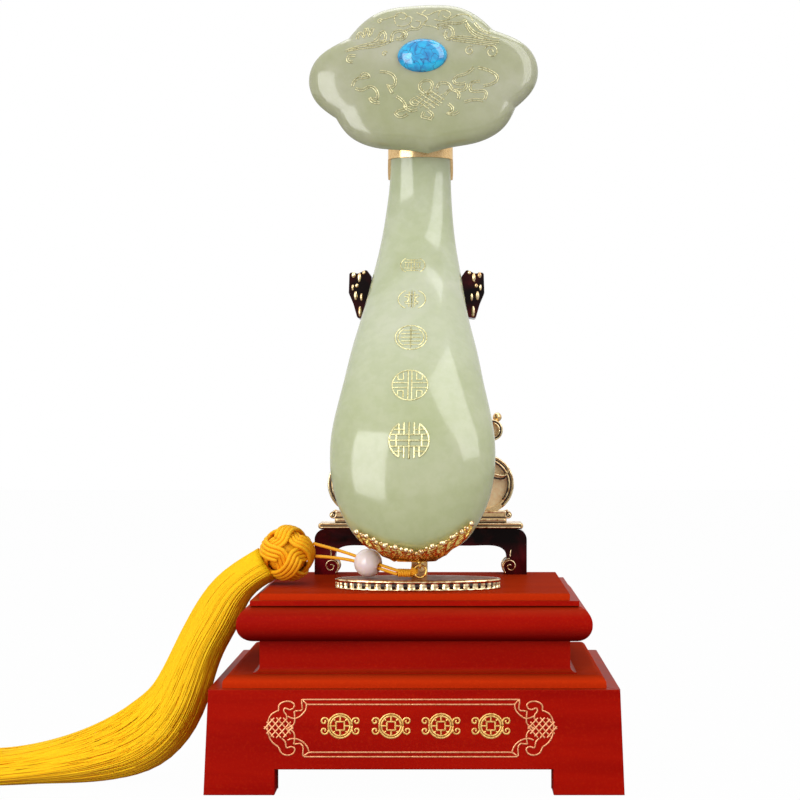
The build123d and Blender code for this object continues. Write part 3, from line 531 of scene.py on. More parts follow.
def tubes(paths, ref, radius, sides=8, closed=False, flat=1.0):
    """Tubes round many paths at once.

    Each ring stands square to its path: centre + radius * (cos t * side + flat * sin t * up),
    where side is the path's way crossed with ref and up is side crossed with the way.
    """
    if closed:
        way = unit(np.roll(paths, -1, 1) - np.roll(paths, 1, 1))
    else:
        way = unit(np.gradient(paths, axis=1))
    side = unit(np.cross(way, ref))
    up = np.cross(side, way)
    t = np.arange(sides)[:, None] * TURN / sides
    rings = paths[:, :, None] + radius * (
        np.cos(t) * side[:, :, None] + flat * np.sin(t) * up[:, :, None]
    )
    count, steps = paths.shape[:2]
    starts = np.arange(count)[:, None] * steps * sides
    faces = (ring_faces(steps, sides, closed) + starts[..., None]).reshape(-1, 4).tolist()
    if not closed:
        ring = np.arange(sides)
        faces += (starts + ring[::-1]).tolist()
        faces += (starts + (steps - 1) * sides + ring).tolist()
    return rings.reshape(-1, 3), faces


def joined(*meshes):
    """Several (points, faces) pairs as one."""
    points, faces, start = [], [], 0
    for some_points, some_faces in meshes:
        points.append(some_points)
        faces += [tuple(int(i) + start for i in face) for face in some_faces]
        start += len(some_points)
    return np.vstack(points), faces


def outward(points, faces):
    """The faces, turned round if the volume that they enclose comes out negative."""
    fans = [(f[0], f[k], f[k + 1]) for f in faces for k in range(1, len(f) - 1)]
    a, b, c = points[np.array(fans)].transpose(1, 0, 2)
    volume = np.einsum("ij,ij->i", a, np.cross(b, c)).sum()
    return faces if volume > 0 else [tuple(face[::-1]) for face in faces]


def piece(name, mesh_data, material, body, replaces=(), smooth=True):
    """Put a mesh, given in millimetres, into the scene as one finished piece."""
    points, faces = mesh_data
    faces = outward(points, faces)
    mesh = bpy.data.meshes.new(name)
    mesh.from_pydata((points * MM).tolist(), [], faces)
    mesh.validate()
    mesh.polygons.foreach_set("use_smooth", [smooth] * len(mesh.polygons))
    mesh.materials.append(material)
    mesh.update()
    obj = bpy.data.objects.new(name, mesh)
    bpy.context.scene.collection.objects.link(obj)
    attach(obj, body)
    if replaces:
        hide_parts(*replaces)
    return obj


# Cords

cord_diameter, strand_half_gap, strand_straight = 1.7, 0.95, 16.5
ring_middle = np.array([2.3, -33.0, 109.7])
wrap_end = ring_middle + (-11.5, 0.0, -0.7)
bead_middle = ring_middle + (-27.5, 7.2, 3.7)
cord_way = unit(bead_middle - wrap_end)
strand_side = strand_half_gap * unit(np.cross(to_back, cord_way))


def cord_strand(name, side, later, node):
    """One strand: a smooth curve on the route's points, from the wrapping to the knot."""
    start = wrap_end + side * strand_side
    route = [start, start + strand_straight * cord_way, *[ring_middle + p for p in later]]
    curve = bpy.data.curves.new(name, "CURVE")
    curve.dimensions = "3D"
    spline = curve.splines.new("NURBS")
    spline.points.add(len(route) - 1)
    for point, place in zip(spline.points, route):
        point.co = (*(place * MM), 1)
    spline.order_u = 3
    spline.use_endpoint_u = True
    spline.resolution_u = 16
    curve.bevel_depth = cord_diameter / 2 * MM
    curve.bevel_resolution = 4
    curve.materials.append(cord_silk)
    obj = bpy.data.objects.new(name, curve)
    bpy.context.scene.collection.objects.link(obj)
    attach(obj, "pendant")
    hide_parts(node)


cord_strand("strand_upper", 1, [(-42.1, 13.9, 9.5), (-57.6, 21.0, 12.7)], "cord_strand_upper")
cord_strand("strand_lower", -1, [(-42.2, 13.7, 5.9), (-56.3, 20.6, 5.9)], "cord_strand_lower")


# Knot, tassel and bead

knot_middle = np.array([-69.7, -10.0, 116.8])


def woven_knot():
    """A Turk's head of four cords side by side, woven over a ball.

    At longitude t the band's latitude is tilt * sin(k t) and its distance from the middle is
    mid + lift * sin(2 k t), with k = bights / leads, so that it passes over and under in turn.
    """
    bights, leads, cords = 4, 3, 4
    cord_radius, cord_pitch, core = 1.1858, 2.2506, 11.1
    mid, lift, tilt = 13.50, 1.25, np.radians(62)
    lean, turn = np.radians(68), np.radians(25)
    t = np.linspace(0, TURN * leads, 720, endpoint=False)
    k = bights / leads
    latitude = tilt * np.sin(k * t)
    ring = np.cos(latitude)
    line = np.stack([ring * np.cos(t), ring * np.sin(t), np.sin(latitude)], -1)
    side = np.cross(line, unit(np.roll(line, -1, 0) - np.roll(line, 1, 0)))
    offsets = (np.arange(cords) - (cords - 1) / 2) * cord_pitch
    radius = (mid + lift * np.sin(2 * k * t))[:, None]
    paths = radius * unit(radius * line + offsets[:, None, None] * side)
    band = tubes(paths, line[None], cord_radius, closed=True)
    points, faces = joined(band, shell(core * ball_grid(24, 36, 0.02)))
    stance = np.array(Matrix.Rotation(turn, 3, "Y") @ Matrix.Rotation(lean, 3, "X"))
    return points @ stance.T + knot_middle, faces


piece("woven_knot", woven_knot(), knot_silk, "pendant", ["pendant_knot"])

# The middle's x, y and z, half thickness and half breadth, from the knot to the end
tassel_stations = np.array(
    [
        (-80.5, -10.0, 111.5, 9.5, 10.0),
        (-89.6, -10.5, 106.0, 9.5, 11.5),
        (-99.5, -11.5, 97.0, 10.8, 13.0),
        (-107.2, -13.0, 84.0, 12.5, 14.5),
        (-114.5, -16.0, 70.0, 12.5, 16.0),
        (-121.3, -20.0, 53.0, 13.5, 17.0),
        (-129.3, -23.0, 36.0, 16.0, 18.0),
        (-142.0, -26.5, 23.0, 17.5, 19.0),
        (-160.0, -31.0, 15.65, 15.0, 19.5),
        (-190.0, -35.0, 10.16, 9.6, 19.0),
        (-218.0, -37.0, 7.65, 7.2, 19.5),
        (-240.0, -38.0, 7.47, 7.0, 20.0),
    ]
)


def in_tassel(shares, r, angle):
    """Places in the tassel, at radius r and an angle of its section and at shares of its line.

    A place is middle + half thickness * r * cos a * across + half breadth * r * sin a * deep,
    where middle and half sizes come from a spline through the stations.
    """
    chord = run_lengths(tassel_stations[:, :3])
    stations = natural_spline(chord / chord[-1], tassel_stations, shares)
    middle, half_thick, half_broad = stations[:, :3], stations[:, 3], stations[:, 4]
    way = unit(np.gradient(middle, axis=0))
    deep = unit(to_back - way * way[:, 1:2])
    across = np.cross(way, deep)
    u = (half_thick * r * np.cos(angle))[..., None]
    v = (half_broad * r * np.sin(angle))[..., None]
    return middle + u * across + v * deep


def silk_threads(seed, inner):
    """Loose threads: each keeps its own place in the bundle's section and wanders a little.

    As a thread goes down, by share^0.7, its angle drifts by two slow sine waves of its own and
    its radius by one.
    """
    count, rim, thread_radius, lowest = 560, 0.985, 0.42, 0.8
    rng = np.random.default_rng(seed)
    shares = np.linspace(0, 1, 46)
    angle = rng.uniform(0, TURN, count)[:, None]
    r = np.sqrt(rng.uniform(inner**2, rim**2, count))[:, None]
    phase = rng.uniform(0, TURN, (3, count))[:, :, None]
    pace = rng.uniform(2.0, 6.0, (3, count))[:, :, None]
    end = rng.uniform(0.975, 1.0, count)[:, None, None]
    grow = shares[None] ** 0.7
    angle = angle + grow * (
        0.07 * np.sin(pace[0] * shares * 2 + phase[0]) + 0.015 * np.sin(pace[1] * 3 * shares)
    )
    r = np.clip(r + 0.04 * grow * np.sin(pace[2] * shares * 2 + phase[2]), 0, rim)
    paths = in_tassel(shares, r, angle)
    paths[..., 2] = np.maximum(paths[..., 2], lowest)
    paths = paths[:, :1] + (paths - paths[:, :1]) * end
    return tubes(paths, to_back, thread_radius, 3)


def tassel_core():
    """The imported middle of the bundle: radius 0.87 with two sets of shallow furrows along it.

    The furrows are sine waves in the angle, 29 and 61 in a turn, that drift down the bundle.
    """
    shares = np.linspace(0.0, 0.985, 90)
    a = np.arange(180)[:, None] * TURN / 180
    r = 0.87 + 0.018 * np.sin(29 * a + 3 * np.sin(4 * shares)) + 0.012 * np.sin(61 * a - 5 * shares)
    return shell(in_tassel(shares, r, a).swapaxes(0, 1))


piece("tassel_core", tassel_core(), tassel_silk, "pendant", ["tassel"])
for number, (seed, inner) in enumerate(((11, 0.80), (23, 0.90), (37, 0.93)), start=1):
    threads = silk_threads(seed, inner)
    piece(f"tassel_threads_{number}", threads, tassel_silk, "pendant")


def bored_ball(middle, way, radius, bore):
    """A ball with a straight bore: latitude runs from rim to rim, then back inside the bore."""
    rim = np.arccos(bore / radius)
    lat = np.linspace(-rim, rim, 40)
    inside = np.linspace(1, -1, 8)[1:-1] * radius * np.sin(rim)
    out = np.r_[radius * np.cos(lat), np.full(len(inside), bore)][:, None, None]
    along = np.r_[radius * np.sin(lat), inside][:, None, None]
    side = unit(np.cross(way, to_back))
    up = np.cross(way, side)
    t = np.arange(64)[:, None] * TURN / 64
    return shell(middle + out * (np.cos(t) * side + np.sin(t) * up) + along * way, True)


bead_shape = bored_ball(bead_middle, cord_way, 7.4, 2.6)
piece("quartz_bead", bead_shape, quartz, "bead_body", ["bead"])

# Jade handle and head

handle_z, handle_height = 118.0, 244.0
handle_half_width, handle_run, handle_depth = 43.2, 96.0, 40.0
handle_front_y, handle_x, neck_shift = -52.5, -1.6, 2.2
# Height, half width, how far back the front lies, depth and sideways shift, as shares
handle_stations = np.array(
    [
        (0.000, 0.215, 0.152, 0.235, 0.0),
        (0.008, 0.400, 0.100, 0.420, 0.0),
        (0.025, 0.590, 0.053, 0.630, 0.0),
        (0.055, 0.745, 0.019, 0.790, 0.0),
        (0.094, 0.868, 0.003, 0.865, 0.0),
        (0.145, 0.960, 0.000, 0.905, 0.0),
        (0.205, 1.000, 0.012, 0.940, 0.0),
        (0.254, 0.992, 0.038, 0.975, 0.0),
        (0.312, 0.940, 0.104, 1.000, 0.0),
        (0.377, 0.862, 0.203, 1.000, 0.0),
        (0.443, 0.790, 0.323, 0.975, 0.0),
        (0.512, 0.697, 0.462, 0.935, 0.0),
        (0.566, 0.634, 0.575, 0.885, 0.15),
        (0.620, 0.581, 0.698, 0.830, 0.30),
        (0.696, 0.505, 0.863, 0.690, 0.45),
        (0.795, 0.435, 0.969, 0.545, 0.75),
        (0.871, 0.406, 0.996, 0.480, 1.00),
        (0.934, 0.405, 0.972, 0.480, 1.00),
        (1.000, 0.400, 0.925, 0.490, 1.00),
    ]
)


def handle_at(z):
    """Middle x, half width, front y and depth at heights z, from a spline on root of share."""
    share = np.clip((np.asarray(z, float) - handle_z) / handle_height, 0, 1)
    values = natural_spline(
        np.sqrt(handle_stations[:, 0]), handle_stations[:, 1:], np.sqrt(share).ravel()
    )
    mid_x = handle_x + values[:, 3] * neck_shift
    half = values[:, 0] * handle_half_width
    front = handle_front_y + values[:, 1] * handle_run
    depth = values[:, 2] * handle_depth
    return [a.reshape(share.shape) for a in (mid_x, half, front, depth)]


def handle_front(x, z, proud=0.05):
    """The place on the handle's front at x and z, both half axes of its ellipse grown by proud."""
    mid_x, half, front, depth = handle_at(z)
    lean = np.sqrt(np.clip(1 - ((x - mid_x) / (half + proud)) ** 2, 0, 1))
    return np.stack([x, front + depth / 2 - (depth / 2 + proud) * lean, z], -1)


head_lean, head_roll = np.radians(8.0), np.radians(3.5)
head_x_way = np.array(
    [
        np.cos(head_roll),
        np.sin(head_lean) * np.sin(head_roll),
        np.cos(head_lean) * np.sin(head_roll),
    ]
)
head_out = np.array([0, -np.cos(head_lean), np.sin(head_lean)])
head_y_way = np.cross(head_out, head_x_way)
head_middle = np.array([2.8, 35.0, 382.0])
head_thickness, head_half_width, head_half_height = 17.0, 65.0, 43.4


def on_head(x, y, height):
    """Places at x and y in the plaque's own plane and at a height off its middle plane."""
    x, y, height = np.broadcast_arrays(x, y, height)
    return (
        head_middle
        + x[..., None] * head_x_way
        + y[..., None] * head_y_way
        + height[..., None] * head_out
    )


neck_edge, joint_z = 3.5, 345.0


def jade_handle():
    """Level ellipses up the handle; the neck's top edge is rounded and its front meets the head."""
    z = handle_z + handle_height * np.linspace(0, 1, 150)[:, None] ** 2
    mid_x, half, front, depth = handle_at(z)
    t = np.arange(160)[None] * TURN / 160
    into_top = np.clip((z - (handle_z + handle_height - neck_edge)) / neck_edge, 0, 1)
    inset = neck_edge * (1 - np.sqrt(1 - into_top**2))
    x = mid_x + (half - inset) * np.cos(t)
    y = front + depth / 2 + (depth / 2 - inset) * np.sin(t)
    back = head_middle - head_out * head_thickness / 2
    plane_y = back[1] + np.tan(head_lean) * (z - back[2])
    y = np.where(z > joint_z, np.maximum(y, plane_y), y)
    return shell(np.stack([x, y, z + 0 * x], -1))


piece("jade_handle", jade_handle(), jade, "scepter", ["handle_jade"])

top_lobe = [(0.0, 1.0), (0.355, 0.94), (0.545, 0.755), (0.640, 0.600)]
side_lobe = [(0.640, 0.600), (0.895, 0.392), (1.0, -0.02), (0.93, -0.26), (0.785, -0.455)]
low_lobe = [(0.785, -0.455), (0.655, -0.735), (0.42, -0.895), (0.19, -0.94), (0.0, -1.0)]


def head_outline():
    """The plaque's rim as shares of its half sizes: three splines and their mirror image."""
    right = np.vstack([through(lobe, 44)[:-1] for lobe in (top_lobe, side_lobe, low_lobe)])
    right = np.vstack([right, [(0.0, -1.0)]])
    left = right[1:-1][::-1] * (-1, 1)
    return np.vstack([right, left])


def head_rise(share):
    """Half thickness at a share of the way out to the rim: root of (1 - share^9)."""
    return head_thickness / 2 * np.sqrt(np.clip(1 - share**9, 0, 1))


def jade_head():
    """The rim's outline drawn in towards the middle, on a pillow that is round at the rim.

    As u runs from the back's pole to the front's, the outline is drawn in to (sin u)^0.8 of its
    size, head_rise of that share behind or before the middle plane.
    """
    rim = head_outline() * (head_half_width, head_half_height)
    u = np.linspace(0.03, np.pi - 0.03, 96)[:, None]
    share = np.sin(u) ** 0.8
    height = -np.sign(np.cos(u)) * head_rise(share)
    return shell(on_head(share * rim[:, 0], share * rim[:, 1], height))


piece("jade_head", jade_head(), olive_jade, "scepter", ["head_jade"])

stone_up, stone_half_width, stone_half_height, stone_crown = 10.7, 14.0, 9.7, 4.6
stone_lip, stone_sunk = 0.1, 1.4


def stone_dome():
    """An oval dome, crown * root of (1 - share^2.4) high, and its edge sunk in the plaque's front."""
    share = np.linspace(0.02, 1, 40)[:, None]
    t = np.arange(96)[None] * TURN / 96
    x = share * stone_half_width * np.cos(t)
    y = stone_up + share * stone_half_height * np.sin(t)
    rise = stone_lip + stone_crown * np.sqrt(1 - share**2.4)
    dome = on_head(x, y, head_thickness / 2 + rise)
    edge = on_head(x[-1:], y[-1:], head_thickness / 2 - stone_sunk)
    return shell(np.concatenate([dome, edge]))


piece("turquoise_stone", stone_dome(), turquoise_stone, "scepter", ["cabochon"])

# Fine raised lines, drawn flat and then laid on a surface

line_steps = 40


def even(line):
    """Points evenly spaced along a drawn line's straight runs."""
    line = np.asarray(line, float)
    length = run_lengths(line)
    at = np.linspace(0, length[-1], line_steps)
    return np.stack([np.interp(at, length, line[:, 0]), np.interp(at, length, line[:, 1])], -1)


def bars(*ends):
    """Straight bars from pairs of end points."""
    return [even([(a, b), (c, d)]) for a, b, c, d in ends]


def on_circle(middle, radius, t):
    """Places at a radius and an angle round a middle."""
    return np.stack([middle[0] + radius * np.cos(t), middle[1] + radius * np.sin(t)], -1)


def arc(middle, radius, start, end):
    """Part of a circle between two angles in degrees."""
    return on_circle(middle, radius, np.radians(np.linspace(start, end, line_steps)))


def curl(middle, radius, start, turns):
    """A spiral drawn in from its radius to a sixth of it: r = radius * (1 - 0.83 s)."""
    s = np.linspace(0, 1, line_steps)
    return on_circle(middle, radius * (1 - 0.83 * s), np.radians(start) + TURN * turns * s)


def beside(line, gap):
    """The line shifted square to itself by a gap, for ribbons drawn with two lines."""
    way = unit(np.gradient(line, axis=0))
    return line + gap * np.stack([-way[:, 1], way[:, 0]], -1)


def mirrored(lines, middle=0.0):
    """The lines and their mirror image left to right."""
    return [*lines, *[line * (-1, 1) + (2 * middle, 0) for line in lines]]


def lattice(middle, half_long, half_high, pitch, angle):
    """Straight bars at plus and minus an angle, cut to an oval: the endless knot's weave."""
    t = np.linspace(-half_long, half_long, 81)[:, None]
    lines = []
    for way in (angle, np.pi - angle):
        along = np.array([np.cos(way), np.sin(way)])
        across = np.array([-along[1], along[0]])
        for step in np.arange(-3, 4) * pitch:
            line = step * across + t * along
            line = line[np.hypot(line[:, 0] / half_long, line[:, 1] / half_high) < 0.97]
            if len(line) > 8:
                lines.append(even(line + middle))
    return lines


def raised(lines, lay, radius, ref, flat=0.8):
    """Wires along drawn lines; lay carries drawn points onto the surface that they lie on."""
    paths = np.stack([lay(line[:, 0], line[:, 1]) for line in lines])
    return tubes(paths, ref, radius, 6, flat=flat)


def head_front(x, y, proud=0.05):
    """The plaque's front at x and y: head_rise at the share of the way out to the rim there."""
    rim = head_outline()
    turn = np.arctan2(rim[:, 1], rim[:, 0])
    order = np.argsort(turn)
    u, v = x / head_half_width, y / head_half_height
    reach = np.interp(np.arctan2(v, u), turn[order], np.hypot(*rim.T)[order], period=TURN)
    return on_head(x, y, head_rise(np.hypot(u, v) / reach) + proud)


# Clouds, bats and an endless knot with ribbons, in the plaque's own plane
cloud_lines = [
    [(-43.1, 15.7), (-32.7, 16.9), (-21.8, 18.1), (-15.8, 20.6)],
    [(-41.7, 16.2), (-30.8, 18.7), (-19.9, 20.2)],
    [(-35.5, 23.2), (-34.5, 26.5), (-32.4, 23.5), (-30.7, 28.6), (-29.6, 24.3), (-26.2, 28.8)],
    [(-26.2, 20.3), (-23.4, 22.9), (-21.4, 25.7), (-20.7, 22.3), (-23.1, 19.6)],
    [(-22.8, 33.3), (-16.0, 34.8), (-12.3, 35.5)],
    [(-13.9, 30.4), (-14.1, 35.6), (-10.8, 37.3), (-7.8, 35.7), (-8.8, 32.9), (-11.5, 33.6)],
    [(-13.1, 29.4), (-9.5, 28.7), (-5.8, 30.4), (-4.7, 33.6), (-7.2, 34.9)],
    [(-5.9, 29.0), (-1.9, 27.3), (0.1, 30.5), (-2.6, 31.6)],
    [(-16.3, 20.0), (-15.2, 24.3), (-11.5, 25.5), (-8.9, 23.9), (-10.8, 21.7), (-13.9, 22.4)],
    [(-10.9, 21.6), (-6.1, 26.1), (-1.1, 26.3), (1.3, 29.5)],
    [(3.7, 38.3), (1.3, 35.6), (4.2, 32.6), (1.8, 29.4), (6.7, 27.7), (10.1, 25.6)],
    [(-1.8, 36.8), (3.5, 34.6), (8.1, 36.2), (11.8, 37.4)],
    [(10.6, 33.6), (11.7, 36.9), (14.9, 37.2), (17.5, 34.6), (15.5, 32.4), (12.9, 34.0)],
    [(7.8, 31.9), (13.2, 30.6), (18.7, 32.7), (23.3, 34.3), (28.2, 33.3), (29.8, 30.1)],
    [(9.2, 27.2), (15.7, 28.6), (22.0, 28.2), (26.7, 30.3)],
    [(12.1, 26.0), (15.6, 26.2), (17.7, 23.3), (15.7, 20.1), (14.1, 21.7), (15.0, 23.9)],
    [(25.8, 30.3), (29.1, 24.9), (36.0, 20.7), (44.0, 18.4)],
    [(25.2, 28.0), (27.6, 23.1), (32.3, 19.5), (36.7, 17.9)],
    [(30.2, 28.7), (33.5, 24.2), (38.8, 21.3)],
    [(16.2, 19.6), (25.1, 19.5), (34.9, 17.2), (43.8, 15.7)],
    [(17.5, 18.6), (28.5, 16.3), (41.9, 13.6)],
    [(-39.7, -5.2), (-38.7, -2.5), (-35.0, -0.8), (-30.0, 0.3), (-33.0, 2.8), (-35.8, 0.6)],
    [(-24.5, 2.3), (-19.2, 1.0), (-16.5, -2.4), (-18.2, -6.0), (-20.4, -5.0), (-18.5, -10.7)],
    [(-38.9, -6.7), (-34.5, -7.9), (-30.3, -6.2), (-27.3, -8.8), (-27.1, -12.0), (-31.5, -12.2)],
    [(-31.5, -12.2), (-30.3, -14.6), (-25.5, -16.1)],
    [(-16.3, -12.7), (-12.9, -15.7), (-11.8, -19.5), (-15.0, -20.2), (-17.8, -22.4)],
    [(-17.8, -22.4), (-15.2, -24.7), (-9.8, -23.5)],
    [(28.1, 2.4), (22.9, -1.1), (17.9, -2.6), (16.3, -5.8), (19.8, -7.9), (23.4, -7.2)],
    [(23.4, -7.2), (22.4, -9.9), (17.5, -9.6)],
    [(30.7, 1.3), (36.9, -1.0), (40.8, -5.0), (37.8, -7.6), (33.2, -8.4)],
    [(31.6, -5.8), (26.2, -6.9), (25.4, -11.5), (29.4, -12.7), (33.8, -13.0), (32.7, -17.1)],
    [(32.7, -17.1), (27.4, -16.3), (21.9, -17.4)],
    [(12.4, -18.7), (14.5, -22.0), (11.7, -23.9), (15.2, -25.1), (18.8, -23.7)],
    [(-1.6, -22.0), (-2.7, -25.2), (-0.1, -26.3), (3.0, -27.4)],
    [(1.0, -22.2), (3.1, -24.6), (1.2, -26.4)],
    [(-37.4, 13.4), (-41.9, 13.2), (-42.5, 10.0), (-39.4, 8.8)],
    [(0.8, -11.0), (-2.1, -7.5), (0.3, -4.6), (3.8, -5.5), (3.2, -8.8), (0.3, -11.4)],
    [(-5.6, -13.4), (-8.5, -16.0), (-6.4, -18.4), (-3.7, -18.1)],
    [(7.2, -9.5), (9.1, -6.8), (13.6, -7.5), (15.2, -10.4), (18.6, -13.0), (18.0, -15.7)],
    [(11.8, -13.5), (14.7, -10.9), (19.5, -13.0)],
    [(-7.7, -17.9), (-12.2, -18.1), (-8.8, -21.6), (-4.3, -20.9)],
]
ribbon_reach, ribbon_gap = 29.0, 1.15
engraving = [through(line, line_steps) for line in cloud_lines]
engraving += [beside(line, ribbon_gap) for line in engraving if abs(line[0, 1]) < ribbon_reach]
engraving += lattice((2.5, -15.3), 8.6, 5.6, 2.3, np.radians(38))
engraving += [
    curl((26.9, 11.9), 3.0, 60, 1.3),
    curl((39.0, 10.6), 4.2, 150, -1.5),
    curl((-22.8, 32.8), 1.8, 20, 1.2),
    curl((-21.2, 13.1), 1.7, 20, 1.2),
]
engraved = raised(engraving, head_front, 0.27, head_out)
piece("head_engraving", engraved, soft_gold, "scepter")

# Fretwork rounds on the handle: generic lattices inside broken or whole rings.
# Each has a radius, a share of the handle's height, a wire's radius and its right half drawn.
fret_rounds = [
    (10.5, 0.247, 0.52, bars(
        (0, -0.92, 0, 0.92), (0.50, 0.30, 0.50, 0.80), (0.50, -0.80, 0.50, -0.30),
        (0, 0.30, 0.92, 0.30), (0, 0, 0.95, 0), (0, -0.30, 0.92, -0.30),
        (0.25, 0.55, 0.72, 0.55), (0.25, -0.55, 0.72, -0.55), (0.25, 0.3, 0.25, 0.9),
        (0.25, -0.9, 0.25, -0.3), (0.62, -0.3, 0.62, 0.3),
    ) + [arc((0, 0), 0.97, -60, 60)]),
    (9.6, 0.364, 0.38, [arc((0, 0), 0.97, -90, 90)] + bars(
        (0.10, -0.92, 0.10, 0.92), (0.10, 0.16, 0.92, 0.16), (0.10, -0.16, 0.92, -0.16),
        (0.36, 0.36, 0.66, 0.36), (0.66, 0.36, 0.66, 0.62), (0.36, 0.36, 0.36, 0.80),
        (0.36, -0.36, 0.66, -0.36), (0.66, -0.62, 0.66, -0.36), (0.36, -0.8, 0.36, -0.36),
    )),
    (8.7, 0.470, 0.34, [arc((0, 0), 0.97, -90, 90), arc((0, 0), 0.80, -55, 55)] + bars(
        (0, 0.58, 0.42, 0.58), (0, 0.30, 0.58, 0.30), (0, 0, 0.62, 0),
        (0, -0.30, 0.58, -0.30), (0, -0.58, 0.42, -0.58), (0, -0.8, 0, 0.8),
    )),
    (7.7, 0.559, 0.32, [arc((0, 0), 0.97, -62, 62), arc((0.52, 0), 0.28, 90, 270)] + bars(
        (0, -0.85, 0, 0.85), (0.20, -0.75, 0.20, 0.75), (0, 0.45, 0.45, 0.45),
        (0, -0.45, 0.45, -0.45),
    )),
    (7.0, 0.643, 0.32, [arc((0, 0), 0.97, -55, 55)] + bars(
        (0.12, -0.70, 0.12, 0.70), (0, 0.62, 0.50, 0.62), (0, 0.34, 0.66, 0.34),
        (0, -0.62, 0.50, -0.62), (0, -0.34, 0.66, -0.34), (0.34, -0.20, 0.34, 0.20),
        (0.56, -0.2, 0.56, 0.2),
    )),
]
fret_x, lean_reach = -3.0, 4.0
for number, (radius, share, wire, right_half) in enumerate(fret_rounds, start=1):
    middle_z = handle_z + share * handle_height
    fronts = handle_at([middle_z - lean_reach, middle_z + lean_reach])[2]
    lean = np.arctan2(fronts[1] - fronts[0], 2 * lean_reach)
    fret = [line * radius * (1, np.cos(lean)) + (fret_x, middle_z) for line in mirrored(right_half)]
    wires = raised(fret, handle_front, wire, (0, -np.cos(lean), np.sin(lean)), 0.7)
    piece(f"fret_round_{number}", wires, pale_gold, "scepter", [f"medallion_{number}"])

# Front board with the gilt line work on it

box_half_foot, box_half_cap, box_foot, box_cap = 105.5, 103.5, 1.0, 53.5
box_depth_foot, box_depth_cap, board_wall = 65.0, 63.0, 12.0
foot_gap, gap_top = 69.75, 13.75


def on_board(x, z, proud=0.1):
    """A place on the front board's leaning face."""
    share = (z - box_foot) / (box_cap - box_foot)
    y = -box_depth_foot + (box_depth_foot - box_depth_cap) * share - proud
    return np.stack([x, y, z], -1)


def front_board():
    """The front board: its outline on the outer face, joined to the mitred one on the inner."""
    right_x = np.array([foot_gap, foot_gap, box_half_foot, box_half_cap])
    right_z = np.array([gap_top, box_foot, box_foot, box_cap])
    x, z = np.r_[right_x, -right_x[::-1]], np.r_[right_z, right_z[::-1]]
    inner_x, inner_y = box_half_cap - board_wall, board_wall - box_depth_cap
    back = np.stack([np.clip(x, -inner_x, inner_x), np.full(8, inner_y), z], -1)
    ring = np.arange(8)
    sides = np.stack([ring, (ring + 1) % 8, (ring + 1) % 8 + 8, ring + 8], 1).tolist()
    caps = [[4, 5, 6, 7], [4, 7, 0, 3], [3, 0, 1, 2]]
    faces = [face[::-1] for face in caps] + [[i + 8 for i in face] for face in caps] + sides
    return np.vstack([on_board(x, z, 0.0), back]), faces


board = piece("front_board", front_board(), lacquer, "base", ["front_apron"], False)
edge = board.modifiers.new("eased_edges", "BEVEL")
edge.width = 0.5 * MM
edge.segments = 3

panel_middle = -1.75
ribbon = [
    [(panel_middle, 48.65), (-56.5, 48.65), (-56.2, 45.9), (-55.8, 43.2), (-60.0, 42.9)],
    [(panel_middle, 46.2), (-53.9, 46.2), (-55.9, 48.5)],
    [(panel_middle, 20.2), (-55.8, 20.2), (-55.4, 25.3), (-57.0, 26.9), (-60.3, 26.4)],
    [(panel_middle, 22.45), (-52.6, 22.45), (-55.4, 20.5)],
]
ribbon_curves = [
    [(-53.9, 46.2), (-54.3, 43.7), (-56.3, 41.1), (-58.6, 39.5), (-61.6, 39.5), (-63.4, 40.4)],
    [(-60.0, 42.9), (-59.8, 39.6), (-60.0, 36.9), (-63.7, 34.3)],
    [(-63.7, 34.3), (-60.3, 32.2), (-59.8, 29.5), (-60.3, 26.4)],
    [(-52.6, 22.45), (-53.0, 24.0), (-54.3, 26.2), (-57.5, 28.6), (-61.2, 29.2), (-63.4, 28.4)],
    [(-67.8, 43.2), (-67.6, 45.9), (-65.3, 47.5), (-62.2, 47.6), (-60.0, 45.9), (-60.6, 44.2)],
    [(-60.6, 44.2), (-62.8, 43.7), (-64.8, 44.3), (-65.3, 43.2), (-64.0, 41.0), (-63.8, 38.9)],
    [(-67.8, 25.0), (-66.2, 22.0), (-63.2, 21.0), (-60.0, 22.6), (-59.8, 24.3), (-61.6, 25.3)],
    [(-61.6, 25.3), (-63.8, 24.8), (-64.4, 27.2), (-66.2, 29.3)],
    [(-67.8, 43.2), (-71.6, 41.1), (-73.2, 37.0), (-73.0, 31.6), (-71.4, 28.0), (-67.8, 25.0)],
]
panel_lines = [even(line) for line in ribbon]
panel_lines += [through(line, line_steps) for line in ribbon_curves]
panel_lines += lattice((-67.8, 34.6), 7.6, 5.4, 2.5, np.radians(48))
panel_wires = raised(mirrored(panel_lines, panel_middle), on_board, 0.45, to_front, 0.6)
piece("cartouche_lines", panel_wires, inlay_gold, "base", ["cartouche_inlay"])

coin = [arc((0, 0), 6.0, 0, 360), arc((0, 0), 4.9, 0, 360)]
coin += bars(
    (-2.1, -2.1, 2.1, -2.1), (-2.1, 2.1, 2.1, 2.1), (2.1, -2.1, 2.1, 2.1),
    (-2.1, -2.1, -2.1, 2.1), (0, 2.1, 0, 4.9), (0, -4.9, 0, -2.1),
)
coin += mirrored(
    [curl((8.0, 2.3), 2.1, 190, -1.2), curl((8.0, -2.3), 2.1, 170, 1.2)]
    + bars((2.1, 0, 4.9, 0), (2.6, 2.6, 3.6, 3.6), (2.6, -2.6, 3.6, -3.6))
)
motif_places, motif_z = (-37.0, -11.5, 13.5, 38.5), 35.5
motifs = [line + (place, motif_z) for place in motif_places for line in coin]
motif_wires = raised(motifs, on_board, 0.55, to_front, 0.6)
piece("panel_motifs", motif_wires, motif_gold, "base", ["motif_inlays"])

# Tail mount: leafy wings in relief with a beaded edge, wound cord at the ring

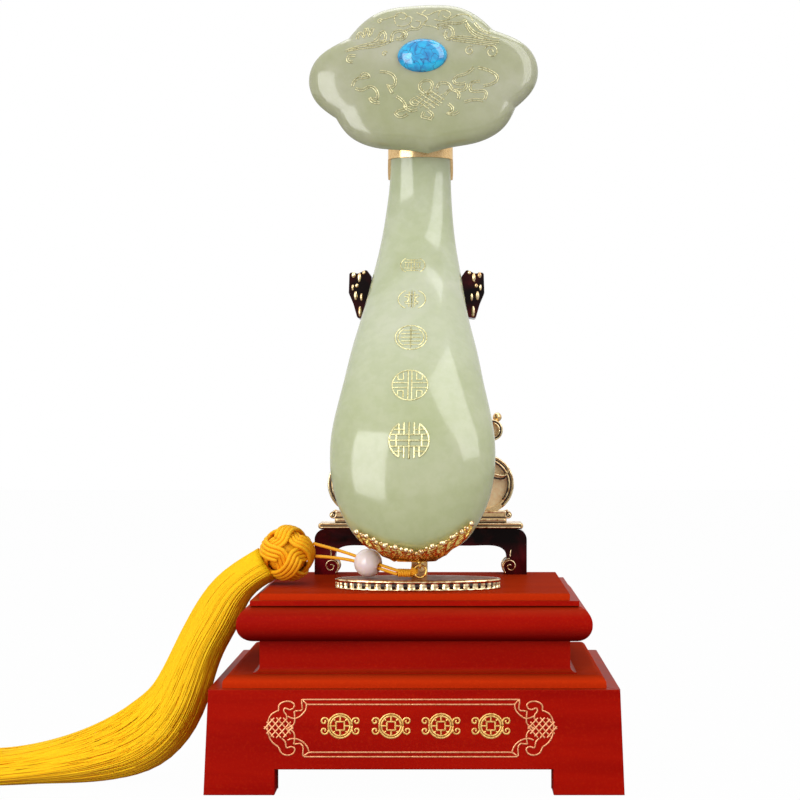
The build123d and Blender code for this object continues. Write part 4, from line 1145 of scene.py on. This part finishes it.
mount_top = [(-30.5, 13.6), (-17.0, 7.6), (0.6, 3.0), (15.0, 8.4), (29.5, 17.6)]
mount_low = [
    (-30.5, 12.0), (-29.0, 8.4), (-26.5, 5.6), (-21.0, 3.6), (-15.0, -1.0), (-11.0, -2.8),
    (-7.0, -1.0), (-4.0, -2.6), (6.0, -2.6), (9.0, -1.2), (12.5, -1.8), (16.0, 1.0),
    (22.0, 5.6), (26.5, 9.0), (29.0, 13.6), (29.5, 16.6),
]
mount_wall, mount_drop = 1.6, 3.2


def on_mount(x, rise, proud):
    """The clasp's outer face: the handle's own front, lowered and grown by its wall."""
    place = handle_front(x, handle_z + rise + mount_drop, mount_wall + proud)
    place[..., 2] -= mount_drop
    return place


def mount_relief():
    """Leaves in relief: each ring runs down the outer face and back up inside the wall.

    With s along the clasp and t down it, and each wing's t turned its own way, the relief is
    0.2 + 0.6 * leaf * vein + 0.35 * leaf * scale, fading towards both edges, where leaf is
    |sin(11 pi s + 2.6 t)|, vein is the root of |sin(26 pi s - 5 t)| and scale is |sin(6 pi t + 9 s)|.
    """
    left, width = -30.3, 59.6
    s = np.linspace(0.0, 1.0, 240)[:, None]
    t = np.linspace(0, 1, 22)[None]
    x = left + width * s
    top = np.interp(x, *np.array(mount_top).T)
    low = np.interp(x, *np.array(mount_low).T)
    low = np.minimum(low + 0.8 * np.abs(np.sin(9 * np.pi * s)), top - 0.4)
    rise = top + (low - top) * t
    turned = t * np.sign(s - 0.5)
    leaf = np.abs(np.sin(11 * np.pi * s + 2.6 * turned))
    vein = np.sqrt(np.abs(np.sin(26 * np.pi * s - 5.0 * turned)))
    scale = np.abs(np.sin(6.0 * np.pi * t + 9 * s))
    proud = 0.2 + 0.6 * leaf * vein + 0.35 * scale * leaf
    proud *= np.minimum(1, 4 * np.minimum(t, 1 - t) + 0.35)
    outer = on_mount(x + 0 * t, rise, proud)
    inner = on_mount(x + 0 * t, rise, np.full_like(proud, -0.4))
    return shell(np.concatenate([outer, inner[:, ::-1]], axis=1))


def beads(places, radius):
    """Small balls at places, each of a few dozen faces."""
    ball = ball_grid(5, 8, 0.35)
    return joined(*[shell(place + r * ball) for place, r in zip(places, radius)])


def mount_edge():
    """Round beads along the clasp's upper edge, uneven in size and place by sine waves."""
    turn = np.arange(34)
    x = np.linspace(-30.0, 29.0, 34) + 0.5 * np.sin(turn * 1.9)
    rise = np.interp(x, *np.array(mount_top).T)
    size = 1.15 + 0.5 * np.cos(turn * 2.3)
    return beads(on_mount(x, rise - 0.1 + 0.5 * np.sin(turn * 2.9), 0.5), size)


piece("mount_relief", mount_relief(), filigree_gold, "scepter")
# The clasp's beads are raised; their pale highlight gilt is a painted highlight along the edge.
piece("mount_beads", mount_edge(), highlight_gilt, "scepter")


def wound(path, radius, wire, turns, count):
    """Cord wound round a path: middle + radius * (cos a * side + sin a * up), a runs evenly."""
    line = through(path, count)
    way = unit(np.gradient(line, axis=0))
    side = unit(np.cross(way, to_back))
    up = np.cross(side, way)
    a = np.linspace(0, TURN * turns, count)[:, None]
    spiral = line + radius * (np.cos(a) * side + np.sin(a) * up)
    return tubes(spiral[None], (0.31, 0.95, 0.05), wire, 6)


def ring_wrapping():
    """The cord's binding: turns round the ring's left side and along the neck to the strands."""
    ring_radius, wire = 3.2, 0.5
    turn = np.radians(np.linspace(149, 211, 7))
    on_ring = ring_middle + ring_radius * np.stack([np.cos(turn), 0 * turn, np.sin(turn)], -1)
    neck = np.linspace(ring_middle + (-4.6, 0, -0.9), wrap_end, 5)
    return joined(
        tubes(through(neck, 12)[None], to_back, 1.7, 12),
        tubes(through(on_ring, 12)[None], to_back, 1.5, 12),
        wound(neck, 1.75, wire, 7.5, 240),
        wound(on_ring, 1.6, wire, 4.5, 150),
    )


piece("cord_binding", ring_wrapping(), cord_silk, "pendant", ["cord_wrap"])

# Fluted plate: round ribs in pale highlight gilt, a painted highlight, with a painted dark shade in the
# hollows between them, and a browner top

plate_middle, plate_half, plate_half_deep = np.array([1.0, -28.0]), 43.5, 16.0
plate_foot, rib_count = 100.4, 44


def plate_ovals(count, rise, inset, flute=0.0):
    """Level ovals over the plate's foot, each drawn in from its rim by its inset and its flutes.

    The flutes draw it in by flute * (1 - |sin(ribs / 2 * t)|), which is nothing on a rib's crown.
    """
    rise, inset, flute = (np.reshape(part, (-1, 1)) for part in (rise, inset, flute))
    t = np.arange(count)[None] * TURN / count
    inset = inset + flute * (1 - np.abs(np.sin(rib_count / 2 * t)))
    x = plate_middle[0] + (plate_half - inset) * np.cos(t)
    y = plate_middle[1] + (plate_half_deep - inset) * np.sin(t)
    return shell(np.stack([x, y, plate_foot + rise + 0 * x], -1))


plate_ribs = plate_ovals(
    10 * rib_count,
    [0.0, 0.25, 0.7, 1.0, 2.2, 3.4, 3.8, 4.2, 4.9, 5.15, 5.2, 5.2, 5.2],
    [0.6, 0.1, 0.1, 0.2, 0.1, 0.2, 0.3, 0.1, 0.1, 0.4, 1.2, 3.0, 9.0],
    [0.0, 0.0, 0.0, 1.5, 1.5, 1.5, 1.2, 0.0, 0.0, 0.0, 0.0, 0.0, 0.0],
)
# A dark sheet in the hollows between the ribs: painted shade.
plate_hollow_shade = plate_ovals(220, [0.9, 0.9, 3.9, 3.9], [3.0, 0.85, 0.85, 3.0])
plate_field = plate_ovals(160, [5.0, 5.24, 5.30, 5.28, 5.24], [2.0, 1.6, 2.4, 6.0, 12.0])
piece("plate_ribs", plate_ribs, highlight_gilt, "base", ["fluted_plate"])
piece("plate_hollow_shade", plate_hollow_shade, hollow_shade, "base")
piece("plate_field", plate_field, brown_gilt, "base")

# Stand: edge lines on the scrolls, a branch inside each, curls on cushion and feet. The raised lines
# follow real edges and scrolls; their pale highlight gilt is a painted highlight, and the dark lines
# beside them are painted shade.

stand_middle, stand_y = 1.0, 44.0
frame_front, branch_front, table_front, cushion_front, rim_front = 40.5, 40.2, 38.0, 38.5, 37.5


def stand_lines(lines, front, radius):
    """Wires on the stand's front, and the same on its back, mirrored left and right."""
    drawn = [line + (stand_middle, 0) for line in mirrored(lines)]
    faces = [
        raised(drawn, lambda x, z: np.stack([x, np.full_like(x, y), z], -1), radius, to_front)
        for y in (front, 2 * stand_y - front)
    ]
    return joined(*faces)


big_scroll, small_scroll = (36.2, 151.8), (40.8, 182.7)
band_edges = [arc(big_scroll, 16.5, -52, 200), arc(big_scroll, 14.4, -40, 220)]
band_edges += [arc(small_scroll, 5.6, -120, 170), arc(small_scroll, 4.1, 0, 360)]
shade_lines = [arc(big_scroll, 15.4, -50, 200), arc(big_scroll, 13.7, -40, 220)]
shade_lines += [arc(small_scroll, 4.9, -120, 170)]
rim_lines = bars((0, 127.2, 57.2, 127.2), (0, 129.3, 57.6, 129.3))
cushion_lines = bars((0, 131.4, 48.6, 131.4), (0, 135.9, 49.0, 135.9))
cushion_lines += [curl((50.0, 134.2), 2.2, 90, 1.2)]
cushion_shades = bars((0, 133.0, 49.5, 133.0), (0, 130.2, 48.6, 130.2))
cushion_shades += [curl((50.0, 134.2), 1.5, 90, 1.2)]
branch = [(50.0, 161.0), (48.6, 157.2), (45.6, 156.6), (42.0, 157.4), (38.5, 155.0)]
branch_low = [(49.6, 159.0), (47.6, 155.3), (44.6, 154.9), (41.5, 155.6)]
# Painted highlights: pale gilt lines along the edges where they catch the light.
edges = joined(
    stand_lines(band_edges, frame_front, 0.55),
    stand_lines([through(branch, line_steps)], branch_front, 0.75),
    stand_lines(cushion_lines, cushion_front, 0.5),
    stand_lines(rim_lines, rim_front, 0.45),
)
piece("scroll_edge_highlights", edges, highlight_gilt, "base")
# Painted shade: dark lines in the grooves and under the branch, rim and cushion edges.
shadows = joined(
    stand_lines(shade_lines, frame_front, 0.42),
    stand_lines([through(branch_low, line_steps)], branch_front, 0.5),
    stand_lines(cushion_shades, cushion_front, 0.42),
    stand_lines(bars((0, 128.2, 57.5, 128.2)), rim_front, 0.4),
)
piece("scroll_shadows", shadows, hollow_shade, "base")
# Painted highlights: pale gilt curls where the feet's scrolls catch the light.
foot_curls = [
    curl((51.1, 105.0), 4.3, 225, -1.45),
    arc((51.1, 105.0), 4.5, 95, 235),
    even([(51.0, 110.6), (51.1, 112.6), (51.4, 114.4)]),
]
foot_wires = stand_lines(foot_curls, table_front, 0.42)
piece("foot_curls", foot_wires, highlight_gilt, "base")

# Arms: crests and drops in relief on the dark cast metal, in pale highlight gilt where highlights fall:
# painted highlights on raised shapes

# For each painted highlight drop: share of the way out from the handle and up the arm, half width and
# half height
arm_highlight_places = [
    (0.57, 0.87, 1.2, 2.7), (0.84, 0.92, 1.3, 1.8), (0.68, 0.70, 1.2, 1.3), (0.88, 0.66, 0.9, 1.9),
    (0.74, 0.49, 1.2, 2.7), (0.47, 0.46, 1.0, 2.3), (0.36, 0.97, 1.1, 1.2), (0.54, 0.16, 1.2, 3.3),
]
arm_reach, drop_sunk, drop_lowered, drop_half_depth = 0.94, 0.2, 0.6, 0.9


def arm_highlight_drops():
    """Long raised drops, painted highlights, on the front faces of both arms, counted out from each
    arm's inner side.
    """
    ball = ball_grid(7, 10, 0.3)
    parts = []
    for node, hand in (("left_arm", -1), ("right_arm", 1)):
        low, high = (np.array(corner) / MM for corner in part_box(node))
        wide, _, tall = high - low
        inner = high[0] if hand < 0 else low[0]
        for across, up, thick, long in arm_highlight_places:
            x = inner + hand * across * wide * arm_reach
            place = np.array([x, low[1] + drop_sunk, low[2] + up * tall - drop_lowered])
            parts.append(shell(place + ball * (thick, drop_half_depth, long)))
    return joined(*parts)


piece("arm_highlight_drops", arm_highlight_drops(), highlight_gilt, "base")

# The solids that stay showing, each with its own finish

node_finish = {
    "red_lacquer": lacquer,
    "bare_wood": bare_wood,
    "felt": felt,
    "steel": steel,
    "gilt_metal": gilt_metal,
    "gold_inlay": inlay_gold,
    "gold_on_jade": pale_gold,
    "dark_enamel": enamel,
    "peach_enamel": peach,
    "jade": jade,
    "olive_jade": olive_jade,
    "turquoise": turquoise_stone,
    "filigree_gold": filigree_gold,
    "golden_silk": cord_silk,
    "pink_quartz": quartz,
    "tassel_silk": tassel_silk,
}
slots = {part["node"]: part["material_slot"] for part in frame["record"]["subparts"]}
for node, obj in frame["nodes"].items():
    obj.data.materials.clear()
    obj.data.materials.append(node_finish[slots[node]])
for node in ("top_board", "cap_board"):
    frame["nodes"][node].data.materials[0] = rubbed_lacquer
